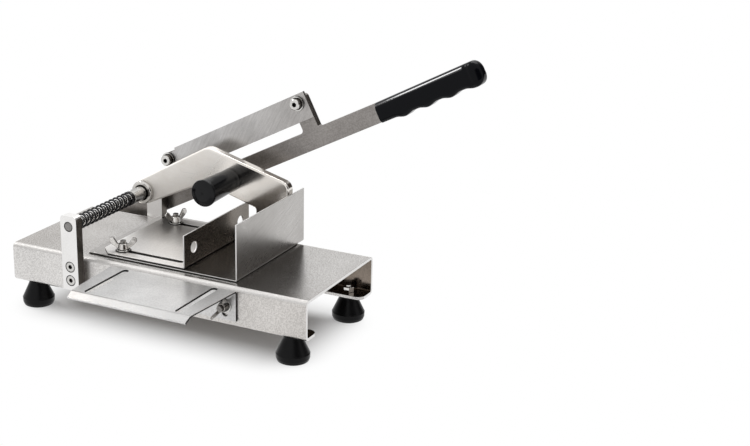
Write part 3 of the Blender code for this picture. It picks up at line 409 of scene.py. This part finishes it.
def cut(form, place, normal):
    """Splits a form's faces along a plane, and keeps both sides."""
    everything = form.verts[:] + form.edges[:] + form.faces[:]
    bmesh.ops.bisect_plane(form, geom=everything, plane_co=place, plane_no=normal)


def bevel_edges(form, edges, width, segments):
    bmesh.ops.bevel(
        form,
        geom=edges,
        offset=width,
        offset_type="OFFSET",
        segments=segments,
        profile=0.5,
        affect="EDGES",
        clamp_overlap=True,
        material=-1,
    )


def dressed(node, finish, edge, height=None):
    """A node's shape with its edges broken, as sheet and bar have after deburring. Height is where to split faces."""
    form = merged_copy(node)
    if height is not None:
        cut(form, (0, 0, height), (0, 0, 1))
    piece = finished(node + "_finish", form, finish, [node], 30)
    break_edges(piece, edge)
    return piece


def paint(piece, finish, chosen):
    """Gives another finish to the faces that are chosen by their middle and normal."""
    piece.data.materials.append(FINISH[finish])
    last = len(piece.data.materials) - 1
    for face in piece.data.polygons:
        if chosen(face.center, face.normal):
            face.material_index = last


def extent(node, place=Matrix.Identity(4)):
    """A node's lowest and highest corners in a frame of its own."""
    to_place = place.inverted()
    points = [to_place @ vert.co for vert in frame["nodes"][node].data.vertices]
    return tuple(Vector(pick(point[axis] for point in points) for axis in range(3)) for pick in (min, max))


def middle_of(low, high):
    return (low + high) / 2


def spun(profile, steps=SIDES):
    """A turned shape about Z from (radius, height) points."""
    form = bmesh.new()
    points = [form.verts.new((radius, 0, height)) for radius, height in profile]
    edges = [form.edges.new(pair) for pair in zip(points, points[1:])]
    turn = {"cent": (0, 0, 0), "axis": (0, 0, 1), "angle": math.tau, "use_merge": True, "use_duplicate": False}
    bmesh.ops.spin(form, geom=points + edges, steps=steps, **turn)
    bmesh.ops.remove_doubles(form, verts=form.verts, dist=MERGE)
    bmesh.ops.recalc_face_normals(form, faces=form.faces)
    return form


def eased(points, steps=5):
    """An outline with its corners rounded: each point is (across, up, corner radius)."""
    outline = []
    for index, (x, z, corner) in enumerate(points):
        here = Vector((x, z))
        if not corner:
            outline.append(here)
            continue
        before = (Vector(points[index - 1][:2]) - here).normalized()
        after = (Vector(points[(index + 1) % len(points)][:2]) - here).normalized()
        half = before.angle(after) / 2
        centre = here + (before + after).normalized() * corner / math.sin(half)
        start = here + before * corner / math.tan(half) - centre
        end = here + after * corner / math.tan(half) - centre
        turn = math.atan2(start.cross(end), start.dot(end))
        for step in range(steps + 1):
            outline.append(centre + Matrix.Rotation(turn * step / steps, 2) @ start)
    return [tuple(point) for point in outline]


def stand(form, place, axis):
    """Turns a form's Z to an axis and moves its origin to a place."""
    turn = Vector((0, 0, 1)).rotation_difference(Vector(axis)).to_matrix().to_4x4()
    bmesh.ops.transform(form, matrix=Matrix.Translation(place) @ turn, verts=form.verts)


# Pieces


NEAR = 0.001  # A face this near to a side or an end of its piece belongs to it.
UNDER_EDGE = 0.0007  # The height of the shade along a thin sheet's edge.
JUST_INSIDE = 0.0025  # A little less than the base's sheet, so that only its inner faces lie further in.
BEND_HEIGHT = 0.008
LIP_AND_BEND = 0.0095
FLANGE_BEND = 0.003
SHELF_SIDE = 0.004
SHEETS_AND_BARS = {
    "lever_arm": ("lever", 0.0005),
    "blade": ("blade", 0.0001),
    "pusher_sleeve": ("sleeve", 0.0004),
    "pusher_collar": ("polished", 0.0012),
    "spring_washer": ("bright", 0.0002),
    "pivot_spacer": ("bright", 0.0003),
    "pivot_washer": ("bright", 0.0002),
    "pivot_nut": ("bright", 0.0004),
    "pivot_bolt": ("bright", 0.0004),
    "pusher_handle_screw": ("bright", 0.0003),
    "blade_shim_left": ("shim", 0.0001),
    "blade_shim_right": ("shim", 0.0001),
}


def dress_sheet_and_bar():
    for node, (finish, edge) in SHEETS_AND_BARS.items():
        dressed(node, finish, edge)
    for node in frame["nodes"]:
        if node.startswith(("guide_washer", "extension_washer", "foot_nut")):
            dressed(node, "bright", 0.0002)
        elif node.startswith(("guide_stud", "extension_stud")):
            dressed(node, "stud", 0.0003)


def dress_base():
    """The bent base: satin outside and painted lighter in front, with a mill finish and painted shade inside,
    and sawn ends painted brighter as a highlight.
    """
    low, high = extent("base_channel")
    base = dressed("base_channel", "deck", 0.0004)
    # Painted light: the front apron lighter than the deck.
    paint(base, "apron", lambda at, way: way.y < -0.5 and at.y < low.y + 2 * NEAR)
    paint(base, "bend", lambda at, way: 0.15 < abs(way.y) < 0.97 and way.z > 0.15 and at.z > high.z - BEND_HEIGHT)

    def inside(at, way):
        across = low.y + JUST_INSIDE < at.y < high.y - JUST_INSIDE
        return across and low.z + 2 * NEAR < at.z < high.z - JUST_INSIDE and abs(way.x) < 0.5

    # Mill finish with painted shade on the inner faces.
    paint(base, "mill", inside)
    paint(base, "edge", lambda at, way: abs(way.x) > 0.9 and not low.x + NEAR <= at.x <= high.x - NEAR)


def dress_posts():
    """The two upright bars, pale in front, with their sides in the shade, and the rod's dull sawn ends."""
    for node in ("front_post", "back_post"):
        post = dressed(node, "bar", 0.0005)
        high = extent(node)[1]
        paint(post, "shade", lambda at, way: way.x > 0.9 and at.x > high.x - NEAR)
    paint(dressed("slide_rod", "rod", 0.0004), "dull", lambda at, way: abs(way.y) > 0.9)


def dress_tray():
    """The tray and the guide: brushed sheet with a highlight painted on its edges,
    and painted shade under its front edges and on the guide's upright.
    """
    low, high = extent("meat_tray")
    tray = dressed("meat_tray", "tray", 0.0002, low.z + UNDER_EDGE)
    paint(tray, "tray_floor", lambda at, way: way.z > 0.9 and at.z < low.z + 3 * NEAR)
    paint(tray, "edge", lambda at, way: way.y < -0.9 or (way.z > 0.9 and at.z > high.z - NEAR))
    paint(tray, "socket", lambda at, way: (way.y < -0.9 or way.x < -0.9) and at.z < low.z + UNDER_EDGE)
    low, high = extent("meat_guide")
    guide = dressed("meat_guide", "guide", 0.0002, low.z + UNDER_EDGE)
    # Painted shade on the guide's right upright face.
    paint(guide, "upright", lambda at, way: way.x > 0.3 and at.x > high.x - 3 * NEAR)
    paint(guide, "edge", lambda at, way: way.y < -0.9 or (way.z > 0.9 and at.z > high.z - NEAR))
    paint(guide, "socket", lambda at, way: way.y < -0.4 and at.z < low.z + UNDER_EDGE)


def dress_extension():
    """The shelf in front: painted shade on its slot walls and under its sides, a highlight painted on its edges,
    and its lip painted darker as shade.
    """
    low, high = extent("extension_plate")
    shelf = dressed("extension_plate", "front", 0.0003, high.z - UNDER_EDGE)
    paint(shelf, "edge", lambda at, way: abs(way.x) > 0.7 and at.z > high.z - UNDER_EDGE)

    def shaded(at, way):
        upright = abs(way.z) < 0.1 and at.z > high.z - 3 * NEAR
        within = low.y + LIP_AND_BEND < at.y < high.y - FLANGE_BEND and low.x + SHELF_SIDE < at.x < high.x - SHELF_SIDE
        return (upright and within) or (way.x > 0.7 and at.z < high.z - UNDER_EDGE)

    paint(shelf, "socket", shaded)
    # Painted shade on the lip.
    paint(shelf, "lip", lambda at, way: way.y < -0.2 and way.z > 0.5)


# The rings of painted shade where parts meet.
SHADE_RING_WIDTH = 0.0007
SHADE_RING_HEIGHT = 0.00012
ROD_CHAMFER = 0.0007
SLEEVE_SHADE_RING = (0.0003, 0.0013)
WASHER_OVERLAP = 0.0002
WASHER_SHADE_RING = (WASHER_OVERLAP + SHADE_RING_WIDTH / 4, WASHER_OVERLAP + 1.4 * SHADE_RING_WIDTH)


def make_seam(name, radius, place, way, node, shape=(SHADE_RING_WIDTH / 4, SHADE_RING_WIDTH)):
    """A thin ring of painted shade about an axis on a face, riding with a node. Shape is how far out its peak and foot
    lie.
    """
    peak, foot = shape
    form = spun([(radius, 0.0), (radius + peak, SHADE_RING_HEIGHT), (radius + foot, 0.0)])
    stand(form, place, way)
    seam = new_object(name, form, FINISH["socket"])
    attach(seam, BODY_OF[node])


def make_seams():
    """Painted shade: dark lines round the screws, rod ends, sleeve, bolt heads and washers,
    where each meets what it sits on.
    """
    for side, way in (("front", -1), ("back", 1)):
        low, high = extent(side + "_post")
        face = low.y if way < 0 else high.y
        for node in (f"{side}_post_screw_upper", f"{side}_post_screw_lower", "slide_rod"):
            first, last = extent(node)
            radius = (last.x - first.x) / 2 + (-ROD_CHAMFER if node == "slide_rod" else 0.0001)
            name = f"{side}_rod_seam" if node == "slide_rod" else node + "_seam"
            middle = middle_of(first, last)
            make_seam(name, radius, (middle.x, face, middle.z), (0, way, 0), side + "_post")
    low, high = extent("pusher_collar")
    middle = middle_of(low, high)
    sleeve_low, sleeve_high = extent("pusher_sleeve")
    radius = (sleeve_high.x - sleeve_low.x) / 2
    make_seam("sleeve_seam", radius, (middle.x, low.y, middle.z), (0, -1, 0), "pusher_collar", SLEEVE_SHADE_RING)
    for side in ("left", "right"):
        low, high = extent("blade_bolt_" + side)
        middle = middle_of(low, high)
        face = extent("blade_washer_" + side)[0].y
        place = (middle.x, face, middle.z)
        make_seam(f"blade_bolt_{side}_seam", (high.x - low.x) / 2, place, (0, -1, 0), "blade_bolt_" + side)
    for side in ("front", "back"):
        node = "guide_washer_" + side
        low, high = extent(node)
        middle = middle_of(low, high)
        radius = (high.x - low.x) / 2 - WASHER_OVERLAP
        make_seam(node + "_seam", radius, (middle.x, middle.y, low.z + 0.00002), (0, 0, 1), node, WASHER_SHADE_RING)


POST_SCREW_KEY = 0.0026
BLADE_BOLT_KEY = 0.0028
KEY_DEPTH = 0.0045


def make_socket_heads():
    """Bright screws and bolts, with painted shade in their sunk hexagons and round the blade bolts' heads."""
    heads = {node: POST_SCREW_KEY for node in frame["nodes"] if "_post_screw_" in node}
    heads |= {"blade_bolt_left": BLADE_BOLT_KEY, "blade_bolt_right": BLADE_BOLT_KEY}
    for node, key in heads.items():
        low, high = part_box(node)
        middle = middle_of(Vector(low), Vector(high))
        outward = 1 if node.startswith("back") else -1
        face = high[1] if outward > 0 else low[1]

        def across(at):
            return math.hypot(at.x - middle.x, at.z - middle.z)

        piece = dressed(node, "bright", 0.00025)
        paint(piece, "socket", lambda at, way: across(at) < key and 0.0001 < (face - at.y) * outward < KEY_DEPTH)
        if node.startswith("blade"):
            paint(piece, "shade", lambda at, way: abs(way.y) < 0.5 and across(at) > key + NEAR)
    for node in ("blade_washer_left", "blade_washer_right"):
        paint(dressed(node, "bright", 0.0002), "socket", lambda at, way: abs(way.y) < 0.5)


FOOT_PROFILE = [
    (0.0, 0.0, 0),
    (0.0126, 0.0, 0.0006),
    (0.0154, 0.0014, 0.0014),
    (0.0165, 0.0044, 0.0012),
    (0.0167, 0.0090, 0.0005),
    (0.0160, 0.0102, 0.0003),
    (0.0157, 0.0110, 0.0006),
    (0.0096, 0.0238, 0.0010),
    (0.0091, 0.0254, 0.0006),
    (0.0090, 0.0270, 0.0002),
    (0.0, 0.0270, 0),
]


def make_feet():
    for node in frame["nodes"]:
        if node.startswith("foot_") and "nut" not in node:
            low, high = extent(node)
            middle = middle_of(low, high)
            form = spun(eased(FOOT_PROFILE))
            stand(form, (middle.x, middle.y, low.z), (0, 0, 1))
            finished(node.replace("foot", "rubber_foot"), form, "rubber", [node], 50)


def make_handle():
    """The pusher's turned handle, with its capped end and the small sprue mark in the cap's middle."""
    low, high = extent("pusher_handle")
    middle = middle_of(low, high)
    length = high.y - low.y
    end_radius = (high.x - low.x) / 2
    profile = [
        (0.0, 0.0, 0),
        (0.0122, 0.0, 0.0002),
        (0.0121, 0.0070, 0.0040),
        (end_radius - 0.0006, length - 0.0052, 0.0008),
        (end_radius - 0.0009, length - 0.0044, 0.0002),
        (end_radius, length - 0.0038, 0.0006),
        (end_radius, length - 0.0013, 0.0012),
        (0.0085, length - 0.0004, 0.0040),
        (0.0013, length - 0.0001, 0.0003),
        (0.0008, length - 0.0007, 0.0002),
        (0.0, length - 0.0008, 0),
    ]
    form = spun(eased(profile))
    stand(form, (middle.x, high.y, middle.z), (0, -1, 0))
    finished("turned_pusher_handle", form, "knob", ["pusher_handle"], 50)


FINGERS = 3
FINGER_DEPTH = 0.0024
FINGER_PITCH = 0.0265
FIRST_FINGER = 0.026
FINGER_WIDTH = 0.0215
GRIP_RISE = 0.0020
GRIP_TOP = (0.0048, 0.0028)
GRIP_BOTTOM = (0.0030, 0.0013)
GRIP_CUTS = 90
NOSE = 0.0096
NOSE_STEPS = 12
NECK_FROM_END = 0.0135
NECK_WIDTH = 0.0070
NECK_DEPTH = 0.0008


def finger_swell(along):
    """How far the grip's underside stands out: between the fingers, and from the heel on to the nose."""
    nearest = min(max(round((along - FIRST_FINGER) / FINGER_PITCH), 0), FINGERS)
    offset = (along - FIRST_FINGER - nearest * FINGER_PITCH) / FINGER_WIDTH
    if nearest == FINGERS:
        offset = min(offset, 0)
    return FINGER_DEPTH * math.cos(math.pi * offset) ** 2 if abs(offset) < 0.5 else 0


def drawn_in(along, length):
    """How far the grip's section shrinks: at its neck, across only, and over its rounded nose, all round."""
    from_end = length - along
    neck = 0
    nose = 0
    offset = (from_end - NECK_FROM_END) / NECK_WIDTH
    if abs(offset) < 0.5:
        neck = NECK_DEPTH * math.cos(math.pi * offset) ** 2
    if from_end < NOSE:
        nose = NOSE - math.sqrt(max(NOSE**2 - (NOSE - from_end) ** 2, 0))
    return neck, nose


def make_grip():
    """The moulded lever grip, shaped from a bar in the lever's own frame, with glossy facets along its top."""
    low, high = extent("lever_grip", LEVER)
    bottom = low.z + FINGER_DEPTH
    top = high.z - GRIP_RISE
    length, width, height = size = (high.x - low.x, high.y - low.y, top - bottom)
    middle = Vector(((low.x + high.x) / 2, (low.y + high.y) / 2, (top + bottom) / 2))
    form = bmesh.new()
    bmesh.ops.create_cube(form, size=1.0, matrix=Matrix.Translation(middle) @ Matrix.Diagonal((*size, 1)))
    for side, reach, segments in (
        (1, GRIP_TOP[0], 1),
        (-1, GRIP_BOTTOM[0], 1),
        (1, GRIP_TOP[1], 5),
        (-1, GRIP_BOTTOM[1], 4),
    ):
        long_edges = [edge for edge in form.edges if abs(edge.verts[0].co.x - edge.verts[1].co.x) > length / 2]
        at_side = [edge for edge in long_edges if (edge.verts[0].co.z - middle.z) * side > height / 4]
        bevel_edges(form, at_side, reach, segments)
    stations = [length * step / GRIP_CUTS for step in range(1, GRIP_CUTS)]
    stations += [length - NOSE * (1 - math.sin(math.pi / 2 * step / NOSE_STEPS)) for step in range(5, NOSE_STEPS)]
    for station in stations:
        cut(form, (low.x + station, 0, 0), (1, 0, 0))
    gloss_end = high.x - NECK_FROM_END - NECK_WIDTH / 2
    for face in form.faces:
        glossy = abs(face.normal.y) > 0.6 and 0.6 < face.normal.z < 0.8
        face.material_index = int(glossy and face.calc_center_median().x < gloss_end)
    for vert in form.verts:
        along = vert.co.x - low.x
        neck, nose = drawn_in(along, length)
        offset = vert.co - Vector((vert.co.x, middle.y, middle.z))
        offset.y *= 1 - (neck + nose) / (width / 2)
        offset.z *= 1 - nose / (height / 2)
        share = abs(offset.z) / (height / 2)
        if offset.z > 0:
            offset.z += GRIP_RISE * share * along / length
        else:
            offset.z -= finger_swell(along) * share
        vert.co = Vector((vert.co.x, middle.y, middle.z)) + offset
    bmesh.ops.transform(form, matrix=LEVER, verts=form.verts)
    bmesh.ops.recalc_face_normals(form, faces=form.faces)
    grip = finished("moulded_grip", form, "grip", ["lever_grip"], 40)
    grip.data.materials.append(FINISH["facet"])


WING_PROFILE = [
    (0.0036, 0.0006, 0),
    (0.0058, 0.0006, 0.0014),
    (0.0113, 0.0048, 0.0040),
    (0.0145, 0.0084, 0.0018),
    (0.0132, 0.0122, 0.0016),
    (0.0098, 0.0122, 0.0014),
    (0.0056, 0.0056, 0.0020),
    (0.0036, 0.0048, 0),
]
WING_START = 0.0036
WING_LENGTH = 0.0109
WING_ROOT_THICKNESS = 0.0034
WING_TIP_THICKNESS = 0.0022
HUB_BORE = 0.0032
HUB_HEIGHT = 0.0060
HUB_PROFILE = [
    (HUB_BORE, HUB_HEIGHT, 0),
    (0.0044, HUB_HEIGHT, 0.0004),
    (0.0058, 0.0, 0.0003),
    (HUB_BORE, 0.0, 0),
    (HUB_BORE, HUB_HEIGHT, 0),
]


def turned_as(node, seat, axis):
    """The turn about a nut's axis that lays new wings where the node's own wings point."""
    across = [point.co - seat - axis * axis.dot(point.co - seat) for point in frame["nodes"][node].data.vertices]
    furthest = max(across, key=lambda reach: reach.length)
    tips = [reach for reach in across if reach.length > furthest.length * 0.97 and reach.dot(furthest) > 0]
    wing = sum(tips, Vector((0, 0, 0))).normalized()
    start = Vector((0, 0, 1)).rotation_difference(axis) @ Vector((1, 0, 0))
    angle = math.atan2(axis.dot(start.cross(wing)), start.dot(wing))
    return Matrix.Translation(seat) @ Matrix.Rotation(angle, 4, axis) @ Matrix.Translation(-seat)


def make_wing_nuts():
    """Cast wing nuts: a bored hub with two upturned wings, melted into one skin."""
    for node in frame["nodes"]:
        if "wing_nut" not in node:
            continue
        axis = Vector(JOINTS[node + "_turn"]["axis"])
        low, high = extent(node)
        seat = middle_of(low, high) - axis * abs(axis.dot(high - low)) / 2
        form = spun(eased(HUB_PROFILE, 3), 40)
        for side in (1, -1):
            outline = [form.verts.new((side * x, 0, z)) for x, z in eased(WING_PROFILE, 4)]
            moved = bmesh.ops.extrude_face_region(form, geom=[form.faces.new(outline)])
            far = [item for item in moved["geom"] if isinstance(item, bmesh.types.BMVert)]
            for verts, way in ((outline, -1), (far, 1)):
                for vert in verts:
                    share = (abs(vert.co.x) - WING_START) / WING_LENGTH
                    thickness = WING_ROOT_THICKNESS + (WING_TIP_THICKNESS - WING_ROOT_THICKNESS) * share
                    vert.co.y = way * thickness / 2
        bmesh.ops.recalc_face_normals(form, faces=form.faces)
        stand(form, seat, axis)
        bmesh.ops.transform(form, matrix=turned_as(node, seat, axis), verts=form.verts)
        finish = "cast" if node.startswith("guide") else "shaded_cast"
        piece = finished(node + "_cast", form, finish, [node], 180)
        melt = piece.modifiers.new("one_skin", "REMESH")
        melt.mode = "VOXEL"
        melt.voxel_size = 0.0003
        melt.use_smooth_shade = True
        soften = piece.modifiers.new("cast_edges", "SMOOTH")
        soften.factor = 0.5
        soften.iterations = 6


WIRE = 0.00105
TURNS = 14
CLOSE_PITCH = 2 * WIRE + 0.0006
TURN_STEPS = 30
WIRE_SIDES = 12


def make_spring():
    """The pusher's spring: one round wire wound about the rod, its end turns close."""
    low, high = extent("pusher_spring")
    rod = middle_of(*extent("slide_rod"))
    centre = Vector((rod.x, low.y + WIRE, rod.z))
    radius = high.x - centre.x - WIRE
    rise = high.y - low.y - 2 * WIRE
    form = bmesh.new()
    across = Matrix.Translation(centre + Vector((radius, 0, 0)))
    section = bmesh.ops.create_circle(form, segments=WIRE_SIDES, radius=WIRE, matrix=across)["verts"]
    moving = section + list({edge for vert in section for edge in vert.link_edges})
    middle_pitch = (rise - 2 * CLOSE_PITCH) / (TURNS - 2)
    for turns, pitch in ((1, CLOSE_PITCH), (TURNS - 2, middle_pitch), (1, CLOSE_PITCH)):
        wound = bmesh.ops.spin(
            form,
            geom=moving,
            cent=centre,
            axis=(0, -1, 0),
            dvec=(0, pitch / TURN_STEPS, 0),
            angle=math.tau * turns,
            steps=turns * TURN_STEPS,
            use_merge=False,
            use_duplicate=False,
        )
        moving = wound["geom_last"]
    bmesh.ops.holes_fill(form, edges=form.edges, sides=0)
    bmesh.ops.recalc_face_normals(form, faces=form.faces)
    piece = finished("wound_spring", form, "spring", ["pusher_spring"], 50)
    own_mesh(piece)


ROLLED_EDGE = 0.0022
BORES = {"pusher_sleeve": 0.0085, "pusher_handle_screw": 0.0045}


def make_pusher_plate():
    """The pressed pusher plate, with the front edges of its outline rolled over and its others broken."""
    front_face = extent("pusher_plate")[0].y
    form = merged_copy("pusher_plate")
    outer = []
    for edge in form.edges:
        if any(vert.co.y >= front_face + 0.0001 for vert in edge.verts) or edge.calc_face_angle(0) <= math.radians(40):
            continue
        spot = middle_of(edge.verts[0].co, edge.verts[1].co)
        clear = True
        for node, reach in BORES.items():
            first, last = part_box(node)
            across = math.hypot(spot.x - (first[0] + last[0]) / 2, spot.z - (first[2] + last[2]) / 2)
            clear = clear and across > reach
        if clear:
            outer.append(edge)
    bevel_edges(form, outer, ROLLED_EDGE, 5)
    break_edges(finished("pressed_pusher_plate", form, "pressed", ["pusher_plate"], 40), 0.0004)


# Floor, light and camera


DARK_SIDES = (((0.55, 0.80, 0.15), 0.72, 0.94), ((0.85, -0.50, 0.15), 0.80, 0.92))
DARK_COLOR = (0.05, 0.042, 0.036, 1)
GREY = (0.62, 0.62, 0.62, 1)
WHITE = (1.0, 1.0, 1.0, 1)
FLOOR_MIDDLE = (0.15, 0.06, -0.0004)
SHADOW_CORE = (0.12, 0.04, 10.0)
SHADOW_NEAR = -0.005
SHADOW_FAR = 0.070
LIGHTS = {
    "back_top": ((0.25, 0.9, 1.6), (0.15, 0.05, 0.08), (1.2, 0.9), 12),
    "grip_light": ((-1.05, 0.09, 1.336), (0.374, 0.152, 0.24), (0.45, 0.25), 5),
}
# The camera's place and lens were fitted to the photo's corners and edges.
CAMERA_PLACE = (0.90041, -1.11439, 0.56526)
CAMERA_RIGHT = (0.868697, 0.495312, -0.005568)
CAMERA_AHEAD = (-0.472734, 0.825639, -0.307965)


def seen_by(tree, *names):
    """One where a ray of any of the named kinds meets the surface."""
    rays = add_node(tree, "ShaderNodeLightPath")
    seen = rays.outputs[names[0]]
    for name in names[1:]:
        seen = larger(tree, seen, rays.outputs[name])
    return seen


def make_floor():
    """A pale floor that takes the object's shadow. To mirrors, and to the camera far off, it is plain white."""
    material, tree, shader = new_material("pale_floor")
    connect(tree, shader, Base_Color=(0.9, 0.9, 0.9, 1), Roughness=0.9, Specular_IOR_Level=0.0)
    away = add_node(tree, "ShaderNodeTexCoord").outputs["Object"]
    away = add_node(tree, "ShaderNodeVectorMath", {"operation": "ABSOLUTE"}, in0=away).outputs[0]
    away = add_node(tree, "ShaderNodeVectorMath", {"operation": "SUBTRACT"}, in0=away, in1=SHADOW_CORE).outputs[0]
    away = add_node(tree, "ShaderNodeVectorMath", {"operation": "MAXIMUM"}, in0=away, in1=(0.0, 0.0, 0.0)).outputs[0]
    away = add_node(tree, "ShaderNodeVectorMath", {"operation": "LENGTH"}, in0=away).outputs["Value"]
    fade = {"interpolation_type": "SMOOTHSTEP"}
    plain = add_node(tree, "ShaderNodeMapRange", fade, in0=away, in1=SHADOW_NEAR, in2=SHADOW_FAR, in3=0.0, in4=1.0)
    plain = times(tree, plain.outputs[0], seen_by(tree, "Is Camera Ray"))
    share = larger(tree, plain, seen_by(tree, "Is Glossy Ray", "Is Transmission Ray"))
    white = add_node(tree, "ShaderNodeEmission", Color=WHITE, Strength=1.0).outputs[0]
    mixed = add_node(tree, "ShaderNodeMixShader", in0=share, in1=shader.outputs[0], in2=white).outputs[0]
    tree.links.new(mixed, tree.nodes["Material Output"].inputs["Surface"])
    form = bmesh.new()
    bmesh.ops.create_grid(form, x_segments=1, y_segments=1, size=8.0)
    floor = new_object("floor", form, material)
    floor.location = FLOOR_MIDDLE


def make_world():
    """White all round to the camera and pale grey as light. Metal sees a white studio with two dark sides."""
    world = bpy.data.worlds.new("studio")
    bpy.context.scene.world = world
    world.use_nodes = True
    tree = world.node_tree
    way = add_node(tree, "ShaderNodeTexCoord").outputs["Generated"]
    zones = []
    for heading, first, last in DARK_SIDES:
        towards = tuple(Vector(heading).normalized())
        facing = add_node(tree, "ShaderNodeVectorMath", {"operation": "DOT_PRODUCT"}, in0=way, in1=towards)
        zones.append(ramp(tree, facing.outputs["Value"], first, last))
    mirrored = blend_colors(tree, plus(tree, *zones), WHITE, DARK_COLOR)
    color = blend_colors(tree, seen_by(tree, "Is Glossy Ray"), GREY, mirrored)
    color = blend_colors(tree, seen_by(tree, "Is Camera Ray", "Is Transmission Ray"), color, WHITE)
    connect(tree, tree.nodes["Background"], Color=color, Strength=1.0)


def make_lights():
    for name, (place, target, size, watts) in LIGHTS.items():
        light = bpy.data.lights.new(name, "AREA")
        light.shape = "RECTANGLE"
        light.size, light.size_y = size
        light.energy = watts
        lamp = bpy.data.objects.new(name, light)
        bpy.context.scene.collection.objects.link(lamp)
        lamp.location = place
        lamp.rotation_euler = (Vector(target) - Vector(place)).to_track_quat("-Z", "Y").to_euler()


def make_camera():
    camera = bpy.data.cameras.new("camera")
    camera.lens = 69.287
    camera.sensor_width = 36.0
    camera.sensor_fit = "HORIZONTAL"
    camera.shift_x = 0.15993
    camera.shift_y = -0.02402
    camera.clip_start = 0.05
    camera.clip_end = 60.0
    eye = bpy.data.objects.new("camera", camera)
    bpy.context.scene.collection.objects.link(eye)
    right, ahead = Vector(CAMERA_RIGHT), Vector(CAMERA_AHEAD)
    eye.rotation_euler = Matrix((right, right.cross(ahead), -ahead)).transposed().to_euler()
    eye.location = CAMERA_PLACE
    bpy.context.scene.camera = eye


make_camera()
make_world()
make_lights()
make_floor()
dress_sheet_and_bar()
dress_base()
dress_posts()
dress_tray()
dress_extension()
make_seams()
make_socket_heads()
make_feet()
make_handle()
make_grip()
make_wing_nuts()
make_spring()
make_pusher_plate()
bpy.context.scene.view_settings.view_transform = "Standard"
